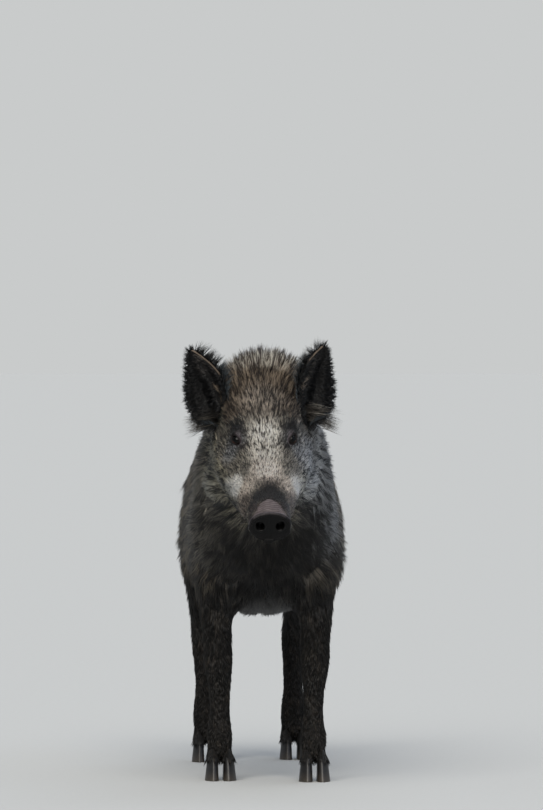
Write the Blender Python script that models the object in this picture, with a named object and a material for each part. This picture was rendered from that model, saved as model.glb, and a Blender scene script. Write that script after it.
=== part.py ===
"""A wild boar, a young sow in winter coat, standing square and looking ahead, life size.

Metres, +Z up. The animal faces -Y, its left side is +X, and it stands on z = 0.
The body is modelled whole, out to the tips of its coat: closed tubes of flesh are fused, smoothed
and thinned to few faces, and then parted into head, jaw, neck, trunk, legs and tail with thin cuts.
Ears, eyes, nose disc, hooves and dewclaws are solids of their own, let into the flesh.
"""

import math

import bmesh
import bpy
import numpy as np
from mathutils import Matrix, Vector

for old in list(bpy.data.objects):
    bpy.data.objects.remove(old)

# Driving dimensions of the whole animal, coat included.
WITHERS = 0.718  # height of the back over the shoulders
SNOUT_Y = -0.645  # middle of the nose disc, ahead of the shoulders
SNOUT_Z = 0.450
HEAD_X = -0.017  # the nose disc is carried a little to the animal's right
HEAD_PITCH = math.radians(29.3)  # how far the muzzle points below level
HEAD_YAW = math.radians(0.5)  # the nose turns a little to the animal's left
HEAD_ROLL = math.radians(0.5)  # the left side is carried a little higher

EYE_RADIUS = 0.0125
DISC_WIDE, DISC_HIGH, DISC_THICK = 0.076, 0.058, 0.016
EAR_WIDE, EAR_THICK = 0.084, 0.008
TAIL_LONG = 0.215

HEAD_ENDS_Y = -0.385  # the head is parted from the neck here, behind the ears
CHEST_Y = -0.318  # the neck's plane starts below the chest here and leans back with the shoulder
SHOULDER_LEAN = 11

# Construction.
SIDES = (("left", 1), ("right", -1))
GAP = 0.0004  # clear space between neighbouring solids
TUBE_SIDES = 28
STEPS = 4  # rings between two stations of a tube
TOE_SIDES = 10
VOXEL = 0.0065
SMOOTHING = 6
FINE_TRIANGLES = 6700  # the whole body as finely as the head stays
FLESH_TRIANGLES = 2950


# ---------------------------------------------------------------- materials


def material(name, colour, roughness):
    made = bpy.data.materials.new(name)
    made.use_nodes = True
    shader = made.node_tree.nodes["Principled BSDF"]
    shader.inputs["Base Color"].default_value = (*colour, 1)
    shader.inputs["Roughness"].default_value = roughness
    shader.inputs["Metallic"].default_value = 0
    return made


COAT = material("winter_coat", (0.085, 0.075, 0.065), 0.8)
DARK_COAT = material("black_short_coat", (0.012, 0.012, 0.014), 0.75)
NOSE_SKIN = material("nose_leather", (0.012, 0.010, 0.010), 0.45)
EYE_GLASS = material("eye", (0.010, 0.006, 0.004), 0.06)
HORN = material("hoof_horn", (0.020, 0.017, 0.015), 0.5)


# ---------------------------------------------------------------- small tools


def link(name, mesh, finish):
    made = bpy.data.objects.new(name, mesh)
    bpy.context.scene.collection.objects.link(made)
    made.data.materials.clear()
    made.data.materials.append(finish)
    return made


def smooth_rows(rows, steps=STEPS):
    """Rows of numbers with more rows between them, on a Catmull-Rom curve through them all."""
    rows = np.array(rows, float)
    ends = np.vstack([2 * rows[0] - rows[1], rows, 2 * rows[-1] - rows[-2]])
    found = []
    for before, start, stop, after in zip(ends, ends[1:], ends[2:], ends[3:]):
        for t in np.arange(steps) / steps:
            found.append(
                start
                + 0.5 * t * (stop - before)
                + t**2 * (before - 2.5 * start + 2 * stop - 0.5 * after)
                + t**3 * (1.5 * (start - stop) + 0.5 * (after - before))
            )
    return np.array([*found, rows[-1]])


def ring(centre, side, up, wide, rise, drop, top_power=2.0, low_power=2.0, count=TUBE_SIDES):
    """A closed outline round centre: half-width wide, rise above and drop below its widest level."""
    angle = np.arange(count) * 2 * math.pi / count
    across, along = np.cos(angle), np.sin(angle)
    power = np.where(along > 0, top_power, low_power)
    x = wide * np.sign(across) * np.abs(across) ** (2 / power)
    h = np.where(along > 0, rise, drop) * np.sign(along) * np.abs(along) ** (2 / power)
    return np.array(centre) + np.outer(x, side) + np.outer(h, up)


def tube(rings):
    """A closed mesh skinned over rings that have the same number of points."""
    shape = bmesh.new()
    loops = [[shape.verts.new(point) for point in points] for points in rings]
    for first, second in zip(loops, loops[1:]):
        for i, corner in enumerate(first):
            following = (i + 1) % len(first)
            shape.faces.new((corner, first[following], second[following], second[i]))
    shape.faces.new(loops[0][::-1])
    shape.faces.new(loops[-1])
    # Flat faces only: a bent one could be split two ways, and a seat cut for it would then miss it.
    bmesh.ops.triangulate(shape, faces=shape.faces)
    bmesh.ops.recalc_face_normals(shape, faces=shape.faces)
    mesh = bpy.data.meshes.new("tube")
    shape.to_mesh(mesh)
    shape.free()
    return mesh


def evaluated(obj):
    """The object's mesh with its modifiers applied, and the object removed."""
    graph = bpy.context.evaluated_depsgraph_get()
    mesh = bpy.data.meshes.new_from_object(obj.evaluated_get(graph))
    mesh.transform(obj.matrix_world)
    bpy.data.objects.remove(obj)
    return mesh


def grown(mesh, distance=GAP):
    """A copy of a closed mesh, moved out by distance along its normals."""
    swollen = link("grown", mesh.copy(), COAT)
    swell = swollen.modifiers.new("Displace", "DISPLACE")
    swell.strength = distance
    swell.mid_level = 0
    return evaluated(swollen)


def boolean(mesh, other, operation):
    """The mesh cut by, cut down to, or joined with the other mesh."""
    first = link("first", mesh, COAT)
    second = link("second", other, COAT)
    step = first.modifiers.new("Boolean", "BOOLEAN")
    step.operation = operation
    step.object = second
    bpy.context.view_layer.update()
    result = evaluated(first)
    bpy.data.objects.remove(second)
    return whole_body(result)


def islands(shape):
    """The separate bodies of a bmesh, each a list of faces."""
    todo, found = set(shape.faces), []
    while todo:
        front = [todo.pop()]
        body = list(front)
        while front:
            near = {f for e in front.pop().edges for f in e.link_faces} & todo
            todo -= near
            front += near
            body += near
        found.append(body)
    return found


def whole_body(mesh):
    """The mesh without the crumbs that a cut can leave: only its largest body stays."""
    shape = bmesh.new()
    shape.from_mesh(mesh)
    bmesh.ops.remove_doubles(shape, verts=shape.verts, dist=1e-6)
    bodies = sorted(islands(shape), key=lambda faces: sum(f.calc_area() for f in faces))
    crumbs = [face for body in bodies[:-1] for face in body]
    bmesh.ops.delete(shape, geom=crumbs, context="FACES")
    bmesh.ops.triangulate(shape, faces=shape.faces)
    shape.to_mesh(mesh)
    shape.free()
    return mesh


def let_in(flesh, piece):
    """The flesh with a seat cut for a piece that is set into it."""
    return boolean(flesh, grown(piece), "DIFFERENCE")


def claim(rest, region):
    """Parts the rest in two: what lies in the closed region, and what stays outside it."""
    inside = boolean(rest.copy(), region.copy(), "INTERSECT")
    outside = boolean(rest, grown(region, 2 * GAP), "DIFFERENCE")
    return inside, outside


# ---------------------------------------------------------------- the head's own frame

# "back" runs from the nose disc to the nape, "up" stands on the brow side and "side" points left.
TURN = Matrix.Rotation(HEAD_YAW, 3, "Z") @ Matrix.Rotation(-HEAD_ROLL, 3, "Y")
HEAD_BACK = TURN @ Vector((0, math.cos(HEAD_PITCH), math.sin(HEAD_PITCH)))
HEAD_UP = TURN @ Vector((0, -math.sin(HEAD_PITCH), math.cos(HEAD_PITCH)))
HEAD_SIDE = TURN @ Vector((1, 0, 0))
HEAD_ORIGIN = Vector((HEAD_X, SNOUT_Y, SNOUT_Z))


def head_point(side, back, up):
    return HEAD_ORIGIN + HEAD_SIDE * float(side) + HEAD_BACK * float(back) + HEAD_UP * float(up)


def ball(radii, place, segments=12):
    """An ellipsoid whose own axes are its radii, set in the animal by the function place."""
    shape = bmesh.new()
    bmesh.ops.create_uvsphere(shape, u_segments=segments, v_segments=segments * 2 // 3, radius=1)
    for vert in shape.verts:
        vert.co = place(*(vert.co * Vector(radii)))
    bmesh.ops.recalc_face_normals(shape, faces=shape.faces)
    mesh = bpy.data.meshes.new("ball")
    shape.to_mesh(mesh)
    shape.free()
    return mesh


def head_ball(side, back, up, *radii):
    """Flesh set on the head, such as a brow or a cheek."""
    return ball(radii, lambda x, y, z: head_point(side + x, back + y, up + z))


def body_ball(centre, radii):
    """A muscle of the body."""
    return ball(radii, lambda x, y, z: Vector(centre) + Vector((x, y, z)), 18)


# ---------------------------------------------------------------- flesh


def head_tube():
    """The wedge from the nose disc to the nape. Rows: back, widest level, top, underside, half-width,
    and how square the section is above and below."""
    rows = [
        (0.006, 0.000, 0.0265, -0.0270, 0.0335, 2.2, 2.2),
        (0.030, 0.000, 0.0305, -0.0330, 0.0350, 2.2, 2.3),
        (0.065, -0.003, 0.0360, -0.0440, 0.0420, 2.1, 2.3),
        (0.105, -0.006, 0.0430, -0.0560, 0.0530, 2.0, 2.2),
        (0.145, -0.010, 0.0530, -0.0680, 0.0650, 1.9, 2.1),
        (0.185, -0.014, 0.0680, -0.0800, 0.0780, 1.9, 2.0),
        (0.225, -0.018, 0.0860, -0.0930, 0.0900, 1.9, 2.0),
        (0.265, -0.022, 0.1020, -0.1040, 0.0980, 2.0, 2.0),
        (0.305, -0.026, 0.1140, -0.1080, 0.1010, 2.0, 2.0),
        (0.335, -0.026, 0.1120, -0.1060, 0.0980, 2.0, 2.0),
    ]
    return tube(
        [
            ring(
                head_point(0, back, level), HEAD_SIDE, HEAD_UP,
                wide, top - level, level - low, top_power, low_power,
            )
            for back, level, top, low, wide, top_power, low_power in smooth_rows(rows)
        ]
    )  # fmt: skip


def trunk_tube():
    """Nape to rump. Rows: y, sideways shift, widest level, top, underside, half-width, tilt in
    degrees, and how square the section is above and below."""
    top = WITHERS
    rows = [
        (-0.408, -0.016, 0.570, top + 0.031, 0.455, 0.1000, 7, 3.2, 2.0),
        (-0.350, -0.014, 0.510, top + 0.024, 0.395, 0.1190, 6, 2.1, 2.0),
        (-0.275, -0.010, 0.455, top + 0.012, 0.335, 0.1330, 4, 1.65, 2.1),
        (-0.185, -0.002, 0.432, top, 0.300, 0.1420, 0, 1.50, 2.2),
        (-0.080, 0.000, 0.432, top - 0.006, 0.283, 0.1470, 0, 1.52, 2.2),
        (0.030, 0.000, 0.437, top - 0.018, 0.280, 0.1460, 0, 1.58, 2.2),
        (0.140, 0.000, 0.447, top - 0.033, 0.290, 0.1390, 0, 1.66, 2.2),
        (0.250, 0.000, 0.462, top - 0.050, 0.314, 0.1300, 0, 1.76, 2.1),
        (0.340, 0.000, 0.480, top - 0.071, 0.350, 0.1180, 0, 1.85, 2.0),
        (0.415, 0.000, 0.498, top - 0.101, 0.400, 0.0980, -8, 2.00, 2.0),
        (0.468, 0.000, 0.512, top - 0.138, 0.448, 0.0700, -16, 2.00, 2.0),
        (0.496, 0.000, 0.520, top - 0.172, 0.482, 0.0360, -20, 2.00, 2.0),
    ]
    rings = []
    for y, x, level, top, low, wide, tilt, top_power, low_power in smooth_rows(rows):
        lean = math.radians(tilt)
        up = Vector((0, -math.sin(lean), math.cos(lean)))
        rings.append(
            ring((x, y, level), (1, 0, 0), up, wide, top - level, level - low, top_power, low_power)
        )
    return tube(rings)


# Stations down each leg. Rows: x, y, z, half-width and half-depth.
FORELEG = [
    (0.072, -0.170, 0.500, 0.058, 0.088),
    (0.080, -0.165, 0.420, 0.055, 0.080),
    (0.086, -0.168, 0.355, 0.045, 0.062),
    (0.086, -0.182, 0.295, 0.034, 0.044),
    (0.084, -0.192, 0.240, 0.028, 0.034),
    (0.083, -0.198, 0.200, 0.028, 0.032),
    (0.081, -0.194, 0.160, 0.0225, 0.025),
    (0.080, -0.190, 0.110, 0.0205, 0.023),
    (0.080, -0.192, 0.078, 0.0255, 0.028),
    (0.080, -0.206, 0.046, 0.0245, 0.024),
    (0.080, -0.214, 0.030, 0.0240, 0.022),
]
HINDLEG = [
    (0.066, 0.300, 0.520, 0.058, 0.110),
    (0.080, 0.300, 0.430, 0.058, 0.102),
    (0.086, 0.312, 0.360, 0.047, 0.076),
    (0.086, 0.350, 0.305, 0.034, 0.050),
    (0.084, 0.392, 0.262, 0.026, 0.038),
    (0.082, 0.416, 0.228, 0.0255, 0.033),
    (0.081, 0.412, 0.185, 0.0225, 0.027),
    (0.080, 0.400, 0.130, 0.0200, 0.024),
    (0.080, 0.392, 0.084, 0.0250, 0.028),
    (0.080, 0.378, 0.048, 0.0240, 0.024),
    (0.080, 0.370, 0.030, 0.0235, 0.022),
]
# The legs aren't set down quite square: how far forward each foot stands of its station.
STRIDE = {
    ("fore", "left"): 0.022,
    ("fore", "right"): -0.014,
    ("hind", "left"): -0.030,
    ("hind", "right"): 0.034,
}


def leg_rows(stations, stride, sign):
    """A leg's stations on its own side. The stride grows from nothing at the top to its full length."""
    top, foot = stations[0][2], stations[-1][2]
    rows = smooth_rows(stations)
    down = (top - rows[:, 2]) / (top - foot)
    rows[:, 1] -= stride * down**1.5
    rows[:, 0] *= sign
    return rows


def leg_tube(rows, count=TUBE_SIDES):
    return tube(
        [
            ring((x, y, z), (1, 0, 0), (0, 1, 0), wide, deep, deep, 2.1, 2.1, count)
            for x, y, z, wide, deep in rows
        ]
    )


def legs():
    """(kind, side, sign of the side, rows) of each leg."""
    for kind, stations in (("fore", FORELEG), ("hind", HINDLEG)):
        for side, sign in SIDES:
            yield kind, side, sign, leg_rows(stations, STRIDE[kind, side], sign)


def thinned(obj, count, group=""):
    """The object with about count triangles left. Only the vertices of the group are given up."""
    triangles = sum(len(face.vertices) - 2 for face in obj.data.polygons)
    thin = obj.modifiers.new("Decimate", "DECIMATE")
    thin.ratio = count / triangles
    thin.vertex_group = group
    return link("thinned", evaluated(obj), COAT)


def fused_flesh():
    """All the tubes and muscles made one smooth closed mesh, with few faces."""
    shapes = [head_tube(), trunk_tube()]
    shapes += [leg_tube(rows) for *_, rows in legs()]
    for _, sign in SIDES:
        shapes += [
            head_ball(sign * 0.041, 0.231, 0.062, 0.024, 0.028, 0.018),  # brow
            head_ball(sign * 0.064, 0.210, 0.004, 0.026, 0.050, 0.020),  # cheekbone
            head_ball(sign * 0.066, 0.268, -0.062, 0.047, 0.060, 0.052),  # jowl
            head_ball(sign * 0.026, 0.085, -0.012, 0.023, 0.045, 0.022),  # root of the tusk
            body_ball((sign * 0.070, -0.185, 0.420), (0.074, 0.105, 0.140)),  # shoulder
            body_ball((sign * 0.068, 0.315, 0.445), (0.064, 0.112, 0.130)),  # thigh
        ]
    shape = bmesh.new()
    for mesh in shapes:
        shape.from_mesh(mesh)
    joined = bpy.data.meshes.new("flesh")
    shape.to_mesh(joined)
    shape.free()

    flesh = link("flesh", joined, COAT)
    fuse = flesh.modifiers.new("Remesh", "REMESH")
    fuse.mode = "VOXEL"
    fuse.voxel_size = VOXEL
    even = flesh.modifiers.new("Smooth", "SMOOTH")
    even.factor = 0.5
    even.iterations = SMOOTHING
    flesh = link("flesh", evaluated(flesh), COAT)

    flesh = thinned(flesh, FINE_TRIANGLES)
    body = flesh.vertex_groups.new(name="body")
    for vert in flesh.data.vertices:
        towards_head = (vert.co - HEAD_ORIGIN).dot(HEAD_BACK)
        if towards_head > 0.31 or vert.co.z < 0.36:
            body.add([vert.index], 1, "REPLACE")
    return whole_body(evaluated(thinned(flesh, FLESH_TRIANGLES, body.name)))


# ---------------------------------------------------------------- pieces set into the flesh


def eye(sign):
    return head_ball(sign * 0.0440, 0.2015, 0.0510, EYE_RADIUS, EYE_RADIUS, EYE_RADIUS)


def disc_outline(wide, high, back, count=28):
    """A wide oval, flatter along its top, across the muzzle at a distance back from its end."""
    middle = head_point(0, back, 0)
    return ring(middle, HEAD_SIDE, HEAD_UP, wide / 2, high / 2, high / 2, 2.25, 1.9, count)


def nose_disc():
    """The flat end of the snout with its raised rim and two nostrils."""
    rim = 0.0035
    rings = [
        disc_outline(DISC_WIDE - 0.010, DISC_HIGH - 0.010, DISC_THICK),
        disc_outline(DISC_WIDE - 0.004, DISC_HIGH - 0.004, DISC_THICK * 0.55),
        disc_outline(DISC_WIDE, DISC_HIGH, DISC_THICK * 0.22),
        disc_outline(DISC_WIDE - 0.002, DISC_HIGH - 0.002, -0.001),
        disc_outline(DISC_WIDE - 2 * rim, DISC_HIGH - 2 * rim, -0.0012),
        disc_outline(DISC_WIDE - 3.2 * rim, DISC_HIGH - 3.2 * rim, 0.0010),
    ]
    disc = tube(rings)
    for _, sign in SIDES:
        nostril = head_ball(sign * 0.0175, 0.000, 0.002, 0.0066, 0.011, 0.0085)
        disc = boolean(disc, nostril, "DIFFERENCE")
    return disc


# Each ear from its buried root to its tip, and how far its hollow turns outwards from ahead.
EARS = {
    "left": (Vector((0.050, -0.404, 0.630)), Vector((0.080, -0.414, 0.758)), 38),
    "right": (Vector((-0.081, -0.404, 0.626)), Vector((-0.136, -0.416, 0.751)), 26),
}


def ear(side, sign):
    """A cupped leaf with a blunt tip, stout at its root and widest at two fifths of its length."""
    root, tip, turn = EARS[side]
    along = (tip - root).normalized()
    facing = Vector((sign * math.sin(math.radians(turn)), -math.cos(math.radians(turn)), 0))
    facing = (facing - along * facing.dot(along)).normalized()
    across = along.cross(facing)
    along_count, across_count = 10, 7
    shape = bmesh.new()
    grid = []
    for i in range(along_count):
        s = i / (along_count - 1)
        swell = 0.66 + 0.34 * math.sin(math.pi / 2 * min(s / 0.4, 1))
        taper = (1 - max((s - 0.4) / 0.6, 0) ** 2.6) ** 0.5
        half = max(EAR_WIDE / 2 * swell * taper, 0.011)
        curl = math.radians(76 - 40 * s)  # how far each edge turns round the hollow
        radius = half / math.sin(curl)
        bow = 0.010 * math.sin(math.pi * s)
        row = []
        for j in range(across_count):
            angle = curl * (2 * j / (across_count - 1) - 1)
            sideways = radius * math.sin(angle)
            ahead = radius * (1 - math.cos(angle)) - bow
            row.append(shape.verts.new(root + (tip - root) * s + across * sideways + facing * ahead))
        grid.append(row)
    for first, second in zip(grid, grid[1:]):
        for j in range(across_count - 1):
            shape.faces.new((first[j], first[j + 1], second[j + 1], second[j]))
    mesh = bpy.data.meshes.new("ear")
    shape.to_mesh(mesh)
    shape.free()
    leaf = link("ear", mesh, DARK_COAT)
    wall = leaf.modifiers.new("Solidify", "SOLIDIFY")
    wall.thickness = EAR_THICK
    wall.offset = 0
    return whole_body(evaluated(leaf))


def tail():
    """A thin tail that hangs from the rump and ends in a tassel."""
    rows = [
        (0.462, 0.575, 0.017, 0.017),
        (0.496, 0.566, 0.0160, 0.0160),
        (0.516, 0.538, 0.0130, 0.0130),
        (0.522, 0.495, 0.0110, 0.0110),
        (0.520, 0.450, 0.0115, 0.0125),
        (0.517, 0.410, 0.0135, 0.0155),
        (0.515, 0.378, 0.0100, 0.0110),
        (0.514, 0.360, 0.0035, 0.0040),
    ]
    points = smooth_rows(rows, 2)
    rings = []
    for i, (y, z, wide, deep) in enumerate(points):
        ahead, behind = points[min(i + 1, len(points) - 1)], points[max(i - 1, 0)]
        along = Vector((0, ahead[0] - behind[0], ahead[1] - behind[1])).normalized()
        up = Vector((1, 0, 0)).cross(along)
        rings.append(ring((0.0, y, z), (1, 0, 0), up, wide, deep, deep, count=10))
    return tube(rings)


def toe(x, y, inner_sign, length, width, height, toe_in):
    """One half of a cloven hoof: flat sole, rounded front, straight side towards the cleft."""
    rings = []
    # Rows: height share, length share, width share, shift back of the front share.
    for up_share, long_share, wide_share, back_share in (
        (0.00, 1.00, 1.00, 0.00),
        (0.55, 0.86, 0.97, 0.17),
        (1.00, 0.66, 0.84, 0.36),
    ):
        angle = np.arange(TOE_SIDES) * 2 * math.pi / TOE_SIDES
        across, along = np.cos(angle), np.sin(angle)
        narrow = 1 - 0.30 * np.clip(-along, 0, 1)  # the hoof narrows to its front
        px = across * width / 2 * wide_share * narrow
        px = np.where(px * inner_sign > 0, np.clip(px, -0.34 * width, 0.34 * width), px)
        py = along * length / 2 * long_share + back_share * length * 0.5
        cos_in, sin_in = math.cos(toe_in * inner_sign), math.sin(toe_in * inner_sign)
        turned_x = x + px * cos_in - py * sin_in
        turned_y = y + px * sin_in + py * cos_in
        rings.append(np.stack([turned_x, turned_y, np.full(TOE_SIDES, up_share * height)], axis=1))
    return tube(rings)


def hooves(kind, side, sign, rows):
    """(node name, mesh) of the two main toes and the two dewclaws of one foot."""
    foot_x, foot_y = rows[-1][0], rows[-1][1]
    length, width, height = (0.054, 0.0265, 0.040) if kind == "fore" else (0.051, 0.0250, 0.039)
    for place, outward in (("outer", 1), ("inner", -1)):
        away = sign * outward
        main = toe(foot_x + away * 0.0142, foot_y - 0.014, -away, length, width, height, math.radians(5))
        yield f"hoof_{kind}_{side}_{place}", main

        claw = toe(0, 0, -away, 0.021, 0.0150, 0.026, 0)
        slope = Matrix.Rotation(math.radians(24), 4, "X")
        seat = Matrix.Translation((foot_x + away * 0.0165, foot_y + 0.030, 0.040))
        claw.transform(seat @ slope)
        yield f"dewclaw_{kind}_{side}_{place}", claw


# ---------------------------------------------------------------- regions that part the flesh


def leg_region(kind, rows):
    """A fat sleeve round the free leg and the muscle above it."""
    start = 3 if kind == "fore" else 2
    spread = np.vstack([rows[start::STEPS], rows[-1]])
    spread[-1, 2] = -0.02
    spread[:, 3] += 0.018
    spread[:, 4] += 0.016
    # The sleeve leans out at its top, so that the cut runs up the outside of the shoulder or thigh.
    spread[:, 0] += np.sign(rows[0][0]) * (spread[:, 2] - 0.30).clip(0) * 0.42
    return leg_tube(spread, count=12)


def jaw_region():
    """A wedge under the muzzle: its top follows the mouth, and its back rises to the mouth's corner."""
    mouth = [(0.0185, -0.0185), (0.060, -0.0205), (0.105, -0.0245), (0.138, -0.0265)]
    below = [(0.195, -0.150), (0.010, -0.150)]
    return tube([[head_point(side, back, up) for back, up in mouth + below] for side in (-0.12, 0.12)])


def slab_before(y, lean=0.0):
    """The space ahead of an upright plane at y, or of one whose top leans back by lean degrees."""
    front, side, low, high = -0.9, 0.3, 0.2, 0.9
    top_y = y + math.tan(math.radians(lean)) * (high - low)
    return tube([[(x, front, low), (x, y, low), (x, top_y, high), (x, front, high)] for x in (-side, side)])


# ---------------------------------------------------------------- the animal


def build():
    flesh = fused_flesh()
    nodes = {}

    disc = nose_disc()
    flesh = let_in(flesh, disc)
    nodes["nose_disc"] = (disc, NOSE_SKIN)

    for side, sign in SIDES:
        ball = eye(sign)
        flesh = let_in(flesh, ball)
        nodes[f"eye_{side}"] = (ball, EYE_GLASS)

        leaf = boolean(ear(side, sign), grown(flesh), "DIFFERENCE")
        nodes[f"ear_{side}"] = (leaf, DARK_COAT)

    hanging = boolean(tail(), grown(flesh), "DIFFERENCE")
    nodes["tail"] = (hanging, DARK_COAT)

    for kind, side, sign, rows in legs():
        for piece, horn in hooves(kind, side, sign, rows):
            flesh = let_in(flesh, horn)
            nodes[piece] = (horn, HORN)

    for kind, side, sign, rows in legs():
        limb, flesh = claim(flesh, leg_region(kind, rows))
        nodes[f"{kind}leg_{side}"] = (limb, DARK_COAT)

    head, flesh = claim(flesh, slab_before(HEAD_ENDS_Y))
    jaw, head = claim(head, jaw_region())
    neck, trunk = claim(flesh, slab_before(CHEST_Y, SHOULDER_LEAN))
    nodes["head"] = (head, COAT)
    nodes["lower_jaw"] = (jaw, COAT)
    nodes["neck"] = (neck, COAT)
    nodes["trunk"] = (trunk, COAT)

    corners = np.array([tuple(v.co) for mesh, _ in nodes.values() for v in mesh.vertices])
    low, high = corners.min(0), corners.max(0)
    stand_on_origin = Vector((-(low[0] + high[0]) / 2, -(low[1] + high[1]) / 2, -low[2]))
    for name, (mesh, finish) in nodes.items():
        piece = link(name, mesh, finish)
        piece.location = stand_on_origin
        mesh.shade_smooth()
        mesh.set_sharp_from_angle(angle=math.radians(40))


build()
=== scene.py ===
# %% [markdown]
# # A wild boar in her winter coat
# A life-size model of a young sow, standing still with her head a little low. Under everything lies one
# skin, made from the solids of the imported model. Over it grow about three hundred and forty thousand tufts
# of solid bristle, and the eyes, hooves and dewclaws are pieces of their own. Each step below says what a
# thing is on the real animal and how it is made here.

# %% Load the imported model
import math

import bpy
import numpy as np
from mathutils import Matrix, Vector
from mathutils.bvhtree import BVHTree
from mathutils.kdtree import KDTree


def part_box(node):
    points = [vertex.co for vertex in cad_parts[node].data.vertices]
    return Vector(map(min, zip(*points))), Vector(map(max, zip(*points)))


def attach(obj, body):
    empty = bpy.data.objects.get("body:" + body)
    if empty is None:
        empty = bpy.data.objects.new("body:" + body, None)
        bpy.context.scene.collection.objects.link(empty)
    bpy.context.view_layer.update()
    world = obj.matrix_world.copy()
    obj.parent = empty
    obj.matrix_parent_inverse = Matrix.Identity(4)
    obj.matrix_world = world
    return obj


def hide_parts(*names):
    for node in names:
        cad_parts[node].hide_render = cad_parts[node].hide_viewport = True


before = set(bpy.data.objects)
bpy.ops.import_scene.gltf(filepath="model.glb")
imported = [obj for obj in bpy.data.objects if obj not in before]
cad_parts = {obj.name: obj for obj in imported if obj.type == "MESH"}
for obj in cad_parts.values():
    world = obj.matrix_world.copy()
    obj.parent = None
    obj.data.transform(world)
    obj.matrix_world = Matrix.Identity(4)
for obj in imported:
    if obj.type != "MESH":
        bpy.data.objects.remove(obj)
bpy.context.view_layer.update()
SIDES = (("left", 1), ("right", -1))
BARREL_HIGH = 0.47  # the middle height of the trunk

# %% [markdown]
# ## Small helpers
# An operator works on whatever is selected, so every step first says which objects it means. A sculpting
# step moves thousands of points at once, and numpy does that in a few lines: read the points, move them,
# write them back.


# %% Select, edit and apply modifiers
def only(*objects):
    """Nothing but these objects is selected, and the first is the active one."""
    bpy.ops.object.select_all(action="DESELECT")
    for obj in objects:
        obj.select_set(True)
    bpy.context.view_layer.objects.active = objects[0]


def modified(obj, kind, **settings):
    """Adds a modifier with its settings and applies it."""
    only(obj)
    step = obj.modifiers.new(kind.title(), kind)
    for setting, value in settings.items():
        setattr(step, setting, value)
    bpy.ops.object.modifier_apply(modifier=step.name)


def in_edit_mode(obj, *steps):
    """Runs edit-mode steps on all of the object's mesh."""
    only(obj)
    bpy.ops.object.mode_set(mode="EDIT")
    bpy.ops.mesh.select_all(action="SELECT")
    for step in steps:
        step()
    bpy.ops.object.mode_set(mode="OBJECT")


def face_outwards(obj):
    in_edit_mode(obj, lambda: bpy.ops.mesh.normals_make_consistent(inside=False))


def primitive(name, add_one, **settings):
    """A new object made by one of the primitive operators."""
    bpy.ops.object.select_all(action="DESELECT")
    add_one(**settings)
    bpy.context.object.name = name
    return bpy.context.object


def copy_of_nodes(name, nodes):
    """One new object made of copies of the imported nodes, each with its loose triangles merged."""
    copies = []
    for node in nodes:
        made = bpy.data.objects.new(name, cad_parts[node].data.copy())
        made.data.materials.clear()
        bpy.context.scene.collection.objects.link(made)
        copies.append(made)
    only(*copies)
    bpy.ops.object.join()
    in_edit_mode(copies[0], lambda: bpy.ops.mesh.remove_doubles(threshold=0.00001))
    return copies[0]


print("helpers ready")


# %% Read and move points
def points_of(obj, what="co"):
    """The object's points, or their normals, as rows of x, y and z."""
    rows = np.empty(len(obj.data.vertices) * 3, np.float32)
    obj.data.vertices.foreach_get(what, rows)
    return rows.reshape(-1, 3).astype(float)


def put_points(obj, points):
    obj.data.vertices.foreach_set("co", points.astype(np.float32).ravel())
    obj.data.update()


def ramp(value, start, stop):
    """0 before start and 1 past stop, with a smooth rise between. Start may be the larger one."""
    share = np.clip((value - start) / (stop - start), 0, 1)
    return share * share * (3 - 2 * share)


def bump(value, middle, reach):
    """1 at the middle, falling smoothly to 0 at reach to each side."""
    return 1 - ramp(np.abs(value - middle), 0, reach)


def unit(rows):
    return rows / np.maximum(np.linalg.norm(rows, axis=-1, keepdims=True), 1e-9)


def distance(points, place):
    return np.linalg.norm(points - np.array(place), axis=1)


def direction(azimuth, elevation):
    """The unit vector that many degrees round from straight ahead and that many up."""
    a, e = math.radians(azimuth), math.radians(elevation)
    return Vector((math.sin(a) * math.cos(e), -math.cos(a) * math.cos(e), math.sin(e)))


def aimed(towards):
    """The rotation of a camera or lamp that looks back from there."""
    return towards.to_track_quat("Z", "Y").to_euler()


def relaxed(obj, points, weight, rounds):
    """The points drawn towards the mean of their neighbours, by weight, a number of times."""
    ends = np.empty(len(obj.data.edges) * 2, np.int32)
    obj.data.edges.foreach_get("vertices", ends)
    ends = ends.reshape(-1, 2)
    here, there = np.concatenate([ends, ends[:, ::-1]]).T
    neighbours = np.maximum(np.bincount(here, minlength=len(points)), 1)
    share = np.broadcast_to(weight, len(points))[:, None]
    for _ in range(rounds):
        means = [np.bincount(here, points[there, axis], len(points)) / neighbours for axis in range(3)]
        points = points + share * (np.stack(means, 1) - points)
    return points


print("points can be read, moved and relaxed")

# %% [markdown]
# ## The head's own directions
# The muzzle points about thirty degrees below level, so places on the head are easier to say along the
# head itself: "side" to the animal's left, "back" from the snout disc to the nape, and "up" towards the
# brow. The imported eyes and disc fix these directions.


# %% The head's frame
def middle(node):
    low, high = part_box(node)
    return (low + high) / 2


def eye_distance(points):
    """How far each point lies from the nearer eye."""
    return np.minimum(*(distance(points, middle(f"eye_{eye_side}")) for eye_side, _ in SIDES))


EYE_BACK, EYE_UP = 0.2015, 0.0510  # where an eye lies in the head's own directions
DISC_BACK = 0.0074  # and the middle of the disc's box
eye_radius = (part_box("eye_left")[1].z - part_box("eye_left")[0].z) / 2
between_eyes = (middle("eye_left") + middle("eye_right")) / 2
head_side = (middle("eye_left") - middle("eye_right")).normalized()
head_slope = math.atan2(EYE_UP, EYE_BACK - DISC_BACK)
along = (between_eyes - middle("nose_disc")).normalized()
head_back = Matrix.Rotation(-head_slope, 3, head_side) @ along
head_up = head_side.cross(head_back)
HEAD_AXES = np.array([head_side, head_back, head_up])
snout = np.array(middle("nose_disc") - head_back * DISC_BACK)


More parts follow.
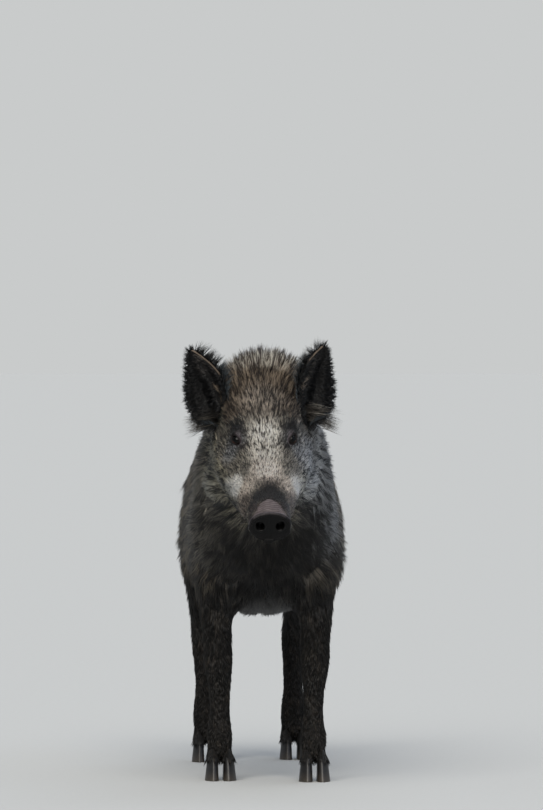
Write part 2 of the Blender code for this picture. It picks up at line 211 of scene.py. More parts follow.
def head_coordinates(points):
    """Rows of side, back and up for rows of x, y and z."""
    return (np.asarray(points) - snout) @ HEAD_AXES.T


def from_head(rows):
    return np.asarray(rows) @ HEAD_AXES + snout


print("the snout starts at", snout.round(3), "and the head runs back along", HEAD_AXES[1].round(2))

# %% [markdown]
# ## Camera
# The animal is seen from straight ahead at the height of her own face, through a very long lens from far
# away, which flattens her depth as a wildlife lens does. The frame reaches from far above the ears to the
# floor.

# %% Camera
VIEW_AZIMUTH, VIEW_ELEVATION = -3, 1.2  # degrees
VIEW_DISTANCE = 15.3
VIEW_HEIGHT = 0.6515
VIEW_ASIDE = 0.0209  # how far the frame's middle lies to the side of the animal's own middle
LENS_MM, SENSOR_MM = 400, 36
VIEW_END = 60  # how far the camera sees, in metres

sight = direction(VIEW_AZIMUTH, VIEW_ELEVATION)
across = Vector((math.cos(math.radians(VIEW_AZIMUTH)), math.sin(math.radians(VIEW_AZIMUTH)), 0))
target = Vector((0, middle("ear_left").y, VIEW_HEIGHT))
target += across * (VIEW_ASIDE - across.dot(target))
bpy.ops.object.camera_add(location=target + sight * VIEW_DISTANCE, rotation=aimed(sight))
camera = bpy.context.object
camera.data.lens = LENS_MM
camera.data.sensor_width = SENSOR_MM
camera.data.clip_end = VIEW_END
bpy.context.scene.camera = camera
print("the camera looks at", [round(v, 3) for v in target])

# %% [markdown]
# ## One skin
# On the real animal one hide runs from the snout disc to the hooves. A voxel remesh suits this: it wraps
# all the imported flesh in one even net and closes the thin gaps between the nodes.

# %% Wrap the flesh in one net
LEGS = [f"{kind}leg_{side}" for kind in ("fore", "hind") for side, _ in SIDES]
HEAD_SOLIDS = ["head", "lower_jaw", "nose_disc"]
FLESH = [*HEAD_SOLIDS, "eye_left", "eye_right", "neck", "trunk", *LEGS]  # the tail comes later
SINK_MESH = 0.0040  # size of the net's squares while the skin sinks
BODY_MESH = 0.0066  # size of the body net's squares; each refinement halves it

skin = copy_of_nodes("skin", FLESH)
NODE_GAPS = 0.0010  # the flesh grows this much, to close the gaps between its nodes
modified(skin, "DISPLACE", strength=NODE_GAPS, mid_level=0)
modified(skin, "REMESH", mode="VOXEL", voxel_size=SINK_MESH)
modified(skin, "SMOOTH", factor=0.5, iterations=2)
print("the net has", len(skin.data.polygons), "faces")

# %% [markdown]
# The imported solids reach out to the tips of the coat, so the skin has to sink by the coat's depth, which
# is a millimetre on the muzzle and three centimetres under the crest. It sinks in small steps. After each
# one the points are evened out and the net is wrapped anew, or it would fold over itself behind the crown.


# %% How deep the coat is
def head_share(places):
    """1 on the head, 0 behind it, with a smooth change along the side of the neck."""
    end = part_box("head")[1].y
    return ramp(places[:, 1], end + 0.035, end - 0.015)


# Millimetres of coat: on the head by the distance back, and on a leg by the height.
FACE_BACKS = [0.018, 0.03, 0.08, 0.15, 0.19, 0.23, 0.26, 0.29, 0.33]
FACE_DEPTHS = [0, 1, 1.8, 3, 4, 7, 13, 22, 29]
SHANK_HEIGHTS = [0.03, 0.10, 0.20, 0.26, 0.33, 0.42]
SHANK_DEPTHS = [1.5, 2.5, 3.0, 4.5, 9, 18]
BODY_DEPTH, RIDGE_MORE, BELLY_LESS, SHOULDER_MORE, CHEEK_MORE = 20, 9, 7, 3, 9


def coat_depth(places):
    _, back, up = head_coordinates(places).T
    cheek = CHEEK_MORE * ramp(up, 0.02, -0.06) * ramp(back, 0.14, 0.22)
    on_head = (np.interp(back, FACE_BACKS, FACE_DEPTHS) + cheek) / 1000
    height = places[:, 2]
    ridge = ramp(np.abs(places[:, 0]), 0.09, 0.02) * ramp(height, 0.60, 0.68)
    belly = ramp(height, 0.36, 0.30)
    shoulder = ramp(places[:, 1], -0.12, -0.26)
    body = (BODY_DEPTH + RIDGE_MORE * ridge - BELLY_LESS * belly + SHOULDER_MORE * shoulder) / 1000
    body = np.minimum(body, np.interp(height, SHANK_HEIGHTS, SHANK_DEPTHS) / 1000)
    share = head_share(places)
    deep = on_head * share + body * (1 - share)
    # It is shallow round the eyes, and where the tail has to stay rooted in the rump.
    tail_low, tail_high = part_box("tail")
    tail_root = np.array([(tail_low.x + tail_high.x) / 2, tail_low.y, tail_high.z - 0.010])
    by_tail = 0.10 + 0.90 * ramp(distance(places, tail_root), 0.022, 0.070)
    by_eye = 0.25 + 0.75 * ramp(eye_distance(places), 0.016, 0.040)
    return deep * np.minimum(by_tail, by_eye)


# %% Sink the skin
SINK_STEPS = 6
for step in range(SINK_STEPS):
    places = points_of(skin)
    depth = coat_depth(places)
    places = places - points_of(skin, "normal") * (depth / SINK_STEPS)[:, None]
    put_points(skin, relaxed(skin, places, np.clip(depth / 0.02, 0, 0.5), 2))
    last = step == SINK_STEPS - 1
    modified(skin, "REMESH", mode="VOXEL", voxel_size=BODY_MESH if last else SINK_MESH)
put_points(skin, relaxed(skin, points_of(skin), 0.4, 2))
print("the coat is", round(depth.max() * 1000), "mm deep at its deepest")

# %% [markdown]
# The net is coarse on the body, which the coat hides, and is made finer on the head, round the eyes and on
# the snout. Halving squares adds no shape, so the snout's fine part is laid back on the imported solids: each
# point goes to the nearest place on them.


# %% Refine the head
def refine(obj, wanted):
    """Halves the squares of the faces whose points are all wanted. That asks for places and backs."""
    places = points_of(obj)
    chosen = wanted(places, head_coordinates(places)[:, 1])
    only(obj)
    bpy.ops.object.mode_set(mode="EDIT")
    bpy.ops.mesh.select_mode(type="VERT")
    bpy.ops.mesh.select_all(action="DESELECT")
    bpy.ops.object.mode_set(mode="OBJECT")
    obj.data.vertices.foreach_set("select", chosen)
    bpy.ops.object.mode_set(mode="EDIT")
    bpy.ops.mesh.select_mode(type="FACE")
    bpy.ops.mesh.subdivide(number_cuts=1, smoothness=0)
    bpy.ops.object.mode_set(mode="OBJECT")


head_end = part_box("head")[1].y
refine(skin, lambda places, back: (places[:, 1] < head_end + 0.01) & (back < 0.33))
places = points_of(skin)
put_points(skin, relaxed(skin, places, ramp(head_coordinates(places)[:, 1], 0.40, 0.30) * 0.5, 2))
for reach, muzzle in ((0.026, 0.062), (0.017, 0.017)):
    refine(skin, lambda places, back: (eye_distance(places) < reach) | (back < muzzle))
print("the skin has", len(skin.data.polygons), "faces")

# %% Lay the snout on the solids
solids = copy_of_nodes("solids", HEAD_SOLIDS)
surface = BVHTree.FromObject(solids, bpy.context.evaluated_depsgraph_get())
places = points_of(skin)
back = head_coordinates(places)[:, 1]
for index in np.nonzero(back < 0.06)[0]:
    spot = surface.find_nearest(Vector(places[index]))[0]
    places[index] += (np.array(spot) - places[index]) * (1 - ramp(back[index], 0.04, 0.06))
put_points(skin, relaxed(skin, places, (back < 0.05) * 0.35, 2))
bpy.data.objects.remove(solids)
print("the snout lies on the packed solids")

# %% [markdown]
# ## The snout disc
# A boar digs with the disc, a firm plate of bare, moist, wrinkled leather. It has a thick rolled rim, two
# round nostrils that open forwards, and a shallow furrow down its middle. These are moved out of and into
# the fine net by formulas in the head's own directions. Above the disc the bare skin is gathered into cross
# wrinkles, because the disc moves up and down there.

# %% Sculpt the snout
DISC_HALF_WIDE, DISC_HALF_HIGH = 0.038, 0.029
NOSTRIL_SIDE, NOSTRIL_UP = 0.0168, 0.0035
NOSTRIL_WIDE, NOSTRIL_HIGH, NOSTRIL_DEEP = 0.0068, 0.0078, 0.0125
RIM_AHEAD, PLATE_DEEP, FURROW_DEEP, CREASE_DEEP = 0.0032, 0.0018, 0.0010, 0.00012
# The mouth's line: how far down it lies at places further and further back.
MOUTH_BACKS, MOUTH_UPS = [0.018, 0.060, 0.105, 0.138], [-0.0185, -0.0205, -0.0245, -0.0265]


def disc_level(side, up):
    """1 on the disc's outline and 0 in its middle."""
    return (np.abs(side / DISC_HALF_WIDE) ** 2.2 + np.abs(up / DISC_HALF_HIGH) ** 2.2) ** (1 / 2.2)


def ripples(side, back):
    """0 in the furrows of the gathered skin above the disc and 1 on its folds."""
    return 0.5 + 0.5 * np.sin((back + 4.0 * side**2) * 1250 + 1.6 * np.sin(side * 300))


places = points_of(skin)
side, back, up = head_coordinates(places).T
radial = disc_level(side, up)
front = ramp(back, 0.010, 0.005)
rim = bump(radial, 0.93, 0.12)
plate = ramp(radial, 0.90, 0.74)
furrow = bump(side, 0, 0.0042) * ramp(up, -0.026, -0.016)
creases = np.sin(side * 950 + up * 350) * np.sin(up * 800 - side * 260)
relief = RIM_AHEAD * rim - PLATE_DEEP * plate - FURROW_DEEP * furrow - CREASE_DEEP * creases * plate
new_back = back - front * relief
for sign in (1, -1):
    # The nostril is a comma: its outer corner is drawn outwards and up.
    x = (side - sign * NOSTRIL_SIDE) * sign
    y = up - NOSTRIL_UP - 0.18 * x
    level = np.hypot(x / NOSTRIL_WIDE, y / NOSTRIL_HIGH)
    new_back += front * (NOSTRIL_DEEP * ramp(level, 1.12, 0.72) - 0.0009 * bump(level, 1.28, 0.30))
bare = ramp(back, 0.006, 0.013) * ramp(back, 0.052, 0.030) * ramp(up, 0.010, 0.020)
gathered = ramp(np.abs(side), 0.034, 0.014)
lift = -0.0009 * bare * gathered * (1 - ripples(side, back))
mouth = bump(up, np.interp(back, MOUTH_BACKS, MOUTH_UPS), 0.0045)
mouth *= ramp(back, 0.012, 0.022)
mouth *= ramp(back, 0.150, 0.135)
pull_in = np.sign(side) * 0.0024 * mouth * ramp(np.abs(side), 0.010, 0.022)
put_points(skin, from_head(np.stack([side - pull_in, new_back, up + lift], 1)))
print("the disc is", round(DISC_HALF_WIDE * 2000), "mm wide")

# %% [markdown]
# ## Eyes and lids
# A boar's eye is small and set deep beside the brow, and looks out to the side and ahead. The ball is a
# sphere with a more curved cornea in front. The lids are part of the skin: points over the ball are laid
# on a slightly larger ball, apart from an almond-shaped opening, where they sink behind it. A rounded lid
# edge, made from a ring, is joined to the skin along the almond.

# %% Where each eye looks
OPENING_HALF = 0.0112  # from the middle of the opening to either corner
LID_ABOVE, LID_BELOW = 0.0073, 0.0062
BALL_RADIUS = 0.95 * eye_radius
BALL_DEEPER = 0.0014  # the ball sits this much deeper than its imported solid


def eye_axes(sign):
    """Rows: from the inner to the outer corner, up across the opening, and out of it."""
    out = unit(np.array([0.64 * sign, -0.54, 0.55]) @ HEAD_AXES)
    corner = np.array([0.42 * sign, 0.86, 0.16]) @ HEAD_AXES
    corner = unit(corner - out * (corner @ out))
    above = np.cross(out, corner)
    return np.array([corner, above if above @ HEAD_AXES[2] > 0 else -above, out])


def ball_centre(eye_side, sign):
    return np.array(middle(f"eye_{eye_side}")) - eye_axes(sign)[2] * BALL_DEEPER


def from_eye(points, eye_side, sign):
    """Columns: from the inner to the outer corner, up across the opening, and out of it."""
    return ((points - ball_centre(eye_side, sign)) @ eye_axes(sign).T).T


def opening_level(x, y, wide=1, high=1):
    """1 on the edge of the opening, drawn wider and higher by these factors, and less inside it."""
    half = np.where(y > 0, LID_ABOVE, LID_BELOW)
    return np.hypot(x / (OPENING_HALF * wide), y / (half * high))


def almond(x):
    """Half-height of the opening above and below at a distance x from its middle."""
    share = np.clip(1 - (x / OPENING_HALF) ** 2, 0, 1)
    return LID_ABOVE * share**0.8, LID_BELOW * share**0.9


print("the left eye looks along", eye_axes(1)[2].round(2))

# %% Open the lids in the skin
LID_THICK = 0.0012
places = points_of(skin)
for eye_side, sign in SIDES:
    centre = ball_centre(eye_side, sign)
    axes = eye_axes(sign)
    x, y, z = from_eye(places, eye_side, sign)
    outside = opening_level(x, y, 1.04, 1.08)
    flat = np.hypot(x, y)
    near = (z > -0.002) & (flat < BALL_RADIUS + 0.012)
    lid_ball = np.sqrt(np.clip((BALL_RADIUS + LID_THICK) ** 2 - flat**2, 1e-8, None))
    hidden = np.sqrt(np.clip((BALL_RADIUS - 0.0028) ** 2 - flat**2, 1e-8, None))
    crease = 0.0009 * bump(outside, 1.95, 0.35) * (y > 0) + 0.0007 * bump(outside, 1.75, 0.3) * (y < 0)
    on_lid = ramp(flat, BALL_RADIUS + 0.006, BALL_RADIUS - 0.002)
    wanted = np.where(outside < 1, hidden, np.maximum(z * (1 - on_lid) + lid_ball * on_lid, z) - crease)
    z = np.where(near, wanted, z)
    moved = np.stack([x, y, z], 1) @ axes + centre
    places = np.where(near[:, None], moved, places)
put_points(skin, places)
print("the lids open", round((LID_ABOVE + LID_BELOW) * 1000, 1), "mm")

# %% [markdown]
# The lid edges are two rings. Each starts as a torus primitive whose points are then led along the almond,
# close over the ball, with the thick edge above and the thin one below.

# %% Lid edges
RING_STEPS, RING_ROUND = 48, 8


def lid_edge(eye_side, sign):
    centre = ball_centre(eye_side, sign)
    axes = eye_axes(sign)
    sizes = dict(major_radius=1, minor_radius=0.25, major_segments=RING_STEPS, minor_segments=RING_ROUND)
    ring = primitive(f"lid_edge_{eye_side}", bpy.ops.mesh.primitive_torus_add, **sizes)
    points = points_of(ring)
    turn = np.arctan2(points[:, 1], points[:, 0])
    outwards = np.hypot(points[:, 0], points[:, 1]) - 1
    x = OPENING_HALF * 1.03 * np.cos(turn)
    above, below = almond(x / 1.03)
    y = np.where(np.sin(turn) > 0, above, -below) * 1.05
    thick = np.where(y > 0, 0.0062, 0.0042) * (0.45 + 0.55 * np.abs(np.sin(turn)))
    flat = np.stack([x, y], 1)
    away = unit(flat)
    spot = flat + away * (outwards * thick)[:, None]
    reach = BALL_RADIUS + 0.0004 + (points[:, 2] * thick)
    z = np.sqrt(np.clip(reach**2 - (spot**2).sum(1), 1e-8, None))
    put_points(ring, np.column_stack([spot, z]) @ axes + centre)
    face_outwards(ring)
    return ring


lid_edges = [lid_edge(eye_side, sign) for eye_side, sign in SIDES]
print("two lid edges of", RING_STEPS, "steps")

# %% [markdown]
# ## Ears
# An ear is a thin cupped leaf whose lower part closes into a funnel that leads into the head. Long hair on
# its back stands past its edge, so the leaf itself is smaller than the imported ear. It starts as a flat grid
# primitive, whose rows are rolled into the cup by a formula, and Solidify gives the leaf its gristle.

# %% Ear skins
EAR_ROWS, EAR_COLUMNS = 44, 30
EAR_THICK = 0.0026
EAR_START = -0.30  # the funnel starts this share of the ear's length inside the head
EAR_HIGH = 0.95  # the leaf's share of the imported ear's length; hair makes the rest
# The leaf's half-widths at shares of its length: it bulges towards the crown high up, and outwards lower.
EAR_SHARES = [-0.30, 0.0, 0.12, 0.28, 0.45, 0.60, 0.75, 0.88, 1.0]
EAR_TO_CROWN = [0.009, 0.013, 0.018, 0.026, 0.032, 0.031, 0.023, 0.013, 0.002]
EAR_TO_OUTSIDE = [0.009, 0.020, 0.033, 0.039, 0.037, 0.030, 0.021, 0.012, 0.002]
EAR_HALF_WIDE = 0.034
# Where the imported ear's root and tip lie in its box, and how far its hollow turns outwards from ahead.
EAR_ENDS = {
    "left": ((0.231, 0.704, 0.040), (0.740, 0.536, 0.977), 34),
    "right": ((0.780, 0.758, 0.092), (0.170, 0.513, 0.961), 26),
}


def ear_ends(ear_side):
    low, high = (np.array(corner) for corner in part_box(f"ear_{ear_side}"))
    root, tip, _ = EAR_ENDS[ear_side]
    return low + np.array(root) * (high - low), low + np.array(tip) * (high - low)


def ear_axes(ear_side, sign):
    """Rows: from root to tip, sideways away from the head, and out of the hollow."""
    root, tip = ear_ends(ear_side)
    axis = unit(tip - root)
    turn = math.radians(EAR_ENDS[ear_side][2])
    facing = np.array([sign * math.sin(turn), -math.cos(turn), 0])
    facing = unit(facing - axis * (facing @ axis))
    return np.array([axis, np.cross(axis, facing) * sign, facing])


def ear_skin(ear_side, sign):
    squares = dict(x_subdivisions=EAR_COLUMNS, y_subdivisions=EAR_ROWS)
    ear = primitive(f"ear_{ear_side}_skin", bpy.ops.mesh.primitive_grid_add, size=2, **squares)
    points = points_of(ear)
    root, tip = ear_ends(ear_side)
    axis, lateral, facing = ear_axes(ear_side, sign)
    v = points[:, 0]
    s = EAR_START + (points[:, 1] + 1) / 2 * (1 - EAR_START)
    open_share = np.clip(s, 0, 1)
    closed = ramp(s, 0.16, -0.06)
    half = np.where(v < 0, np.interp(s, EAR_SHARES, EAR_TO_CROWN), np.interp(s, EAR_SHARES, EAR_TO_OUTSIDE))
    half *= 1 - 0.30 * closed
    curl = np.radians(74 - 36 * open_share + 84 * closed)
    radius = half / np.sin(np.minimum(curl, np.pi / 2))
    angle = curl * v
    bow = 0.012 * np.sin(np.pi * open_share)
    fold = 0.0012 * np.cos(v * 9) * bump(s, 0.45, 0.45)
    along = root + (tip - root) * (s * EAR_HIGH)[:, None]
    aside = radius * np.sin(angle)
    ahead = radius * (1 - np.cos(angle)) - bow + fold
    put_points(ear, along + lateral * aside[:, None] + facing * ahead[:, None])
    face_outwards(ear)
    modified(ear, "SOLIDIFY", thickness=EAR_THICK, offset=0)
    face_outwards(ear)
    modified(ear, "SUBSURF", levels=1, render_levels=1)
    return ear


ear_skins = [ear_skin(ear_side, sign) for ear_side, sign in SIDES]
print("ears", round(np.linalg.norm(ear_ends("left")[1] - ear_ends("left")[0]) * 1000), "mm long")

# %% Tail skin
# The tail is too thin for the body's net, so it gets a finer one of its own.
TAIL_MESH, TAIL_COAT = 0.0024, 0.0016  # its net's squares and its coat's depth
tail_skin = copy_of_nodes("tail_skin", ["tail"])
modified(tail_skin, "REMESH", mode="VOXEL", voxel_size=TAIL_MESH)
modified(tail_skin, "SMOOTH", factor=0.5, iterations=3)
modified(tail_skin, "DISPLACE", strength=-TAIL_COAT, mid_level=0)
print("the tail's net has", len(tail_skin.data.polygons), "faces")

# %% Join the skin
first_points = np.cumsum([len(piece.data.vertices) for piece in (skin, tail_skin, *ear_skins)])
for piece in [tail_skin, *ear_skins, *lid_edges]:
    # One by one, so that the points of the skin stay in this order.
    only(skin, piece)
    bpy.ops.object.join()
skin.data.shade_smooth()
print("the skin has", len(skin.data.polygons), "faces with its tail, ears and lids")

# %% [markdown]
# ## Where everything is
# The coat differs from place to place, so each point of the skin first learns which part of the animal it
# belongs to. Everything after this asks these parts: how long the bristle is, which way it lies, and its
# colour.

# %% Parts of the animal
PARTS = ("face", "cheek_left", "cheek_right", "crown", "throat", "ear_left", "ear_right")
PARTS += ("neck_left", "neck_right", "trunk_left", "trunk_right", "legs", "tail", "bare")
NUMBER = {name: index for index, name in enumerate(PARTS)}
LEG_TOP, BELLY_LOW, SOLE_TOP = 0.335, 0.24, 0.027  # heights
LEG_MARGIN = 0.004  # a leg's skin may lie this far outside its packed box
# Along the head: where the muzzle and the face end, and where the crown starts and how high it lies.
MUZZLE_END, FACE_END, CROWN_START, CROWN_LOW = 0.115, 0.262, 0.236, 0.055
# The bare patch above the disc: its half-width at places further and further back.
PATCH_BACKS, PATCH_HALVES = [0.006, 0.016, 0.028, 0.037, 0.043], [0.036, 0.028, 0.020, 0.013, 0.004]

places = points_of(skin)
outward = points_of(skin, "normal")
side, back, up = head_coordinates(places).T
leftwards, backwards, height = places.T  # on the whole animal
neck_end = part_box("neck")[1].y - 0.045
on_left = leftwards > 0

part = np.where(on_left, NUMBER["trunk_left"], NUMBER["trunk_right"])
over_leg = np.zeros(len(places), bool)
for leg in LEGS:
    low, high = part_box(leg)
    centre = np.array((low + high) / 2)
    half = np.array((high - low) / 2) + LEG_MARGIN
    over_leg |= (np.abs(places - centre) < half)[:, :2].all(1)
belly = ~over_leg & (height > BELLY_LOW)
part[(height < LEG_TOP) & ~belly] = NUMBER["legs"]
is_neck = (backwards < neck_end + 0.25 * (height - 0.5)) & (height > LEG_TOP)
part[is_neck] = np.where(on_left, NUMBER["neck_left"], NUMBER["neck_right"])[is_neck]

is_head = backwards < head_end + 0.012
part[is_head] = np.where(side > 0, NUMBER["cheek_left"], NUMBER["cheek_right"])[is_head]
above_cheeks = up > 0.008 + 0.10 * (back - 0.11)
is_face = is_head & ((back < MUZZLE_END) | ((back < FACE_END) & above_cheeks))
part[is_face] = NUMBER["face"]
part[is_head & (back > CROWN_START) & (up > CROWN_LOW)] = NUMBER["crown"]
part[is_head & (up < -0.050 - 0.14 * back) & (outward @ HEAD_AXES[2] < -0.35)] = NUMBER["throat"]
for name, first, last in zip(("tail", "ear_left", "ear_right"), first_points, first_points[1:]):
    part[first:last] = NUMBER[name]
part[first_points[-1] :] = NUMBER["bare"]

# Bare skin: the disc, its nostrils, the gathered patch above it, the lids' edges and what the horns cover.
patch_half = np.interp(back, PATCH_BACKS, PATCH_HALVES)
patch_half *= 1 + 0.20 * np.sin(side * 1100) * np.sin(back * 1500 + 1)
in_nostril = (back < 0.030) & (np.hypot(side / DISC_HALF_WIDE, up / DISC_HALF_HIGH) < 0.62)
on_patch = (back < PATCH_BACKS[-1]) & (up > 0.010) & (np.abs(side) < patch_half)
is_bare = (back < 0.0150) | in_nostril | on_patch
part[is_head & is_bare] = NUMBER["bare"]
for eye_side, sign in SIDES:
    x, y, z = from_eye(places, eye_side, sign)
    edge = np.where(y - 0.6 * x > 0, 1.38, 1.2)
    part[(z > 0) & (opening_level(x, y) < edge) & is_head] = NUMBER["bare"]
on_ear = np.isin(part, [NUMBER["ear_left"], NUMBER["ear_right"]])
# The leaf's edge towards the crown is a thin bare line, which a Solidify wall shows as its narrow face.
for ear_side, sign in SIDES:
    mine = part == NUMBER[f"ear_{ear_side}"]
    axis, lateral, facing = ear_axes(ear_side, sign)
    root, tip = ear_ends(ear_side)
    offset = places - root
    share = offset @ axis / np.linalg.norm(tip - root) / EAR_HIGH
    edge = np.interp(share, EAR_SHARES, EAR_TO_CROWN) - 0.0026
    rim = (offset @ lateral < -edge) & (share > (0.70 if sign > 0 else 0.56))
    part[mine & rim & (outward @ facing > -0.30)] = NUMBER["bare"]
part[height < SOLE_TOP] = NUMBER["bare"]
print({name: int((part == index).sum()) for name, index in NUMBER.items()})

# %% [markdown]
# ## The lie of the coat
# Hair on a pig starts at the snout and runs back over the whole animal. On the face it fans out from the
# bridge, on the cheeks it sweeps back, out and down into the ruff, and between the ears it stands up. On
# the body it runs back and down, and on the legs straight down. Each direction is then laid flat on the
# skin, and the lift says how far a bristle rises from it.


# %% Direction, lift and length
def is_part(*names):
    return np.isin(part, [NUMBER[name] for name in names])


def mixed(first, second, share):
    """Between two rows or two numbers by a share for each point."""
    share = share[:, None] if np.ndim(first) > 1 or np.ndim(second) > 1 else share
    return first * (1 - share) + second * share


def head_direction(rows):
    return np.stack(np.broadcast_arrays(*rows), -1) @ HEAD_AXES


sideways = np.clip(side / 0.06, -1.3, 1.3)
fan = head_direction([0.30 * sideways, 1.0, 0.15])
low_cheek = ramp(up, 0.03, -0.05)
sweep = head_direction([np.sign(side) * (0.35 + 0.25 * low_cheek), 0.95, 0.10 - 0.75 * low_cheek])
stand = head_direction([1.0 * sideways, 0.75, 1.0])
steep = ramp(np.abs(outward[:, 0]), 0.2, 0.9)
flow = np.stack([0.08 * np.sign(leftwards), np.ones(len(places)), -0.08 - 0.50 * steep], 1)
down = np.stack([np.zeros(len(places)), np.full(len(places), 0.16), -np.ones(len(places))], 1)

lie = mixed(flow, down, ramp(height, 0.42, 0.30) * (1 - belly))
on_cheek = ramp(np.abs(side), 0.030, 0.070) * ramp(back, 0.05, 0.14) * ramp(up, 0.070, 0.030)
on_head = mixed(mixed(fan, sweep, on_cheek), stand, ramp(back, 0.225, 0.310) * ramp(up, 0.045, 0.085))
lie = mixed(lie, on_head, head_share(places))
lie[is_part("throat")] = head_direction([0.0, 1.0, -0.10])
tail_top = ramp(height, 0.560, 0.580)
down_tail = np.stack([0 * tail_top, 0.05 + 1.2 * tail_top, -1 + 0.5 * tail_top], 1)
lie = np.where(is_part("tail")[:, None], down_tail, lie)
# On an ear: the share of its length; -1 to 1 from the crown's side to the outer edge; 1 inside the cup; and
# 1 on the edge towards the crown, all the way up to the tip.
ear_high, ear_wide, ear_inner, ear_edge = np.zeros((4, len(places)))
for ear_side, sign in SIDES:
    mine = is_part(f"ear_{ear_side}")
    root, tip = ear_ends(ear_side)
    axis, lateral, facing = ear_axes(ear_side, sign)
    ear_high[mine] = (places[mine] - root) @ axis / np.linalg.norm(tip - root)
    ear_wide[mine] = np.clip((places[mine] - root) @ lateral / EAR_HALF_WIDE, -1, 1)
    ear_inner[mine] = outward[mine] @ facing > 0.10
    crown_edge = np.interp(ear_high[mine] / EAR_HIGH, EAR_SHARES, EAR_TO_CROWN)
    ear_edge[mine] = ramp((places[mine] - root) @ lateral / crown_edge, -0.15, -0.95)
    # Inside the cup the hair lies outwards across it. On its back it runs up, and out past the edge.
    inside = lateral + axis * (0.9 * ear_high[mine] - 0.35)[:, None]
    turned = np.where(ear_wide[mine] > 0, 1.1 * ear_wide[mine] ** 2, -1.2 * ear_edge[mine])
    behind = axis * (1 - 0.55 * ear_edge[mine])[:, None] + lateral * turned[:, None]
    lie[mine] = mixed(behind, inside, ear_inner[mine])
    # Under the ear, long wisps stand out sideways.
    wisp_root = root + lateral * 0.004 - axis * 0.006
    wisps = ramp(distance(places, wisp_root), 0.036, 0.020) * ramp(height, 0.640, 0.622)
    wisps *= ~on_ear
    lie = mixed(lie, np.array([[sign * 1.0, 0.1, -0.22]]), wisps)
    all_wisps = wisps if sign > 0 else np.maximum(all_wisps, wisps)
lie = unit(lie - outward * (lie * outward).sum(1)[:, None])
print("every point of the skin knows which way its hair lies")

# %% Lift in degrees, length and width in millimetres
crest = ramp(np.abs(leftwards), 0.075, 0.015) * ramp(height, 0.60, 0.67)
HEAD_PLACES = [0.02, 0.06, 0.10, 0.16, 0.20, 0.23, 0.26, 0.30, 0.34]
lift = np.interp(back, HEAD_PLACES, [11, 14, 17, 22, 25, 31, 38, 48, 54])
length = np.interp(back, HEAD_PLACES, [4.5, 6.5, 7.5, 8.5, 10, 15, 25, 35, 38])
width = np.interp(back, [0.02, 0.10, 0.20, 0.26, 0.30], [0.85, 1.1, 1.3, 1.3, 1.2])
low = ramp(up, 0.03, -0.05) * ramp(back, 0.10, 0.20)
length += 9 * low
lift = mixed(lift, np.minimum(lift, 24), ramp(up, 0.075, 0.040))
length = mixed(length, np.minimum(length, 26), ramp(up, 0.075, 0.040))

LEG_PLACES = [0.03, 0.06, 0.10, 0.20, 0.28, 0.36, 0.44]
leg_length = np.interp(height, LEG_PLACES, [13, 11, 12, 14, 22, 38, 60])
body_length = np.minimum(52 + 26 * crest, np.where(belly, np.maximum(leg_length, 42), leg_length))
body_width = np.interp(height, [0.05, 0.25, 0.35], [1.6, 1.9, 2.7])
body_lift = 14 + 13 * crest + 6 * belly * ramp(height, 0.36, 0.31)
share = head_share(places)
length = mixed(body_length, length, share)
width = mixed(body_width, width, share)
lift = mixed(body_lift, lift, share)

# On the back of an ear the hair grows longer towards the edge by the crown and stands past it.
ear_fringe = 22 * ear_edge * ramp(ear_high, 0.25, 0.50) * (1 - ear_inner)
for names, values in (
    (("ear_left", "ear_right"), (16 + ear_fringe - ear_inner, 16 + 0.3 * ear_fringe, 1.1)),
    (("throat",), (24, 16, 2.2)),
    (("tail",), (22 + 42 * ramp(height, 0.45, 0.39) + 16 * tail_top, 9 + 12 * tail_top, 1.7)),
):
    here = is_part(*names)
    length[here], lift[here], width[here] = [np.broadcast_to(value, len(places))[here] for value in values]
by_eye = ramp(eye_distance(places), 0.034, 0.018) * ~on_ear
length *= 1 - 0.55 * by_eye
lift *= 1 - 0.35 * by_eye
length = mixed(length, np.full(len(length), 27.0), all_wisps)
lift = mixed(lift, np.full(len(lift), 20.0), all_wisps)
# The head's own hair stays short where it would stand up inside an ear.
in_ear = np.zeros(len(places))
for ear_side, sign in SIDES:
    root, tip = ear_ends(ear_side)
    offset = places - root
    along_ear = np.clip(offset @ unit(tip - root), -0.03, 0.12)
    away = np.linalg.norm(offset - unit(tip - root) * along_ear[:, None], axis=1)
    in_ear = np.maximum(in_ear, ramp(away, 0.024, 0.017))
in_ear[on_ear] = 0
length *= 1 - 0.5 * in_ear
print("bristles are", round(length.min()), "to", round(length.max()), "mm long")

# %% [markdown]
# ## Markings
# A bristle of the winter coat is dark at its root and pale at its split tip, and the share of pale ones
# differs from place to place: that is what makes a boar grizzled. A marking is therefore a soft round place
# on the animal with three things: the pale colour, the dark colour and the share of pale tufts. Skin and
# coat read the same three. Some markings are painted shade and light rather than coat colour: the darker
# throat, chin and jaw, the darker hollows of the ears, the bluish sheen on the ears and the paler, bluer
# front of her left side.


# %% Colours
def srgb(code):
    """A hex colour as three linear values."""
    values = np.array([int(code[i : i + 2], 16) / 255 for i in (1, 3, 5)])
    return np.where(values <= 0.04045, values / 12.92, ((values + 0.055) / 1.055) ** 2.4)


# The ground colours of each part: pale tip, dark shaft, share of pale tufts.
GROUND = {
    "face": ("#9a9488", "#34312d", 0.50),
    "cheek": ("#b4ad98", "#22201c", 0.48),
    "crown": ("#7f7263", "#211b17", 0.42),
    # The throat's dark ground is partly painted shade, for it faces the floor under the head.
    "throat": ("#2b2927", "#0e0d0d", 0.16),
    # The ear's pale tips are partly painted sheen: a bluish reflection on its black hair.
    "ear": ("#39434a", "#090b0d", 0.30),
    "neck": ("#948e82", "#35312c", 0.42),
    "trunk": ("#8a806f", "#2b2621", 0.38),
    "legs": ("#3b342d", "#141210", 0.20),
    "tail": ("#2c2723", "#121110", 0.12),
    "bare": ("#5a4f4e", "#2c2728", 0.50),
}
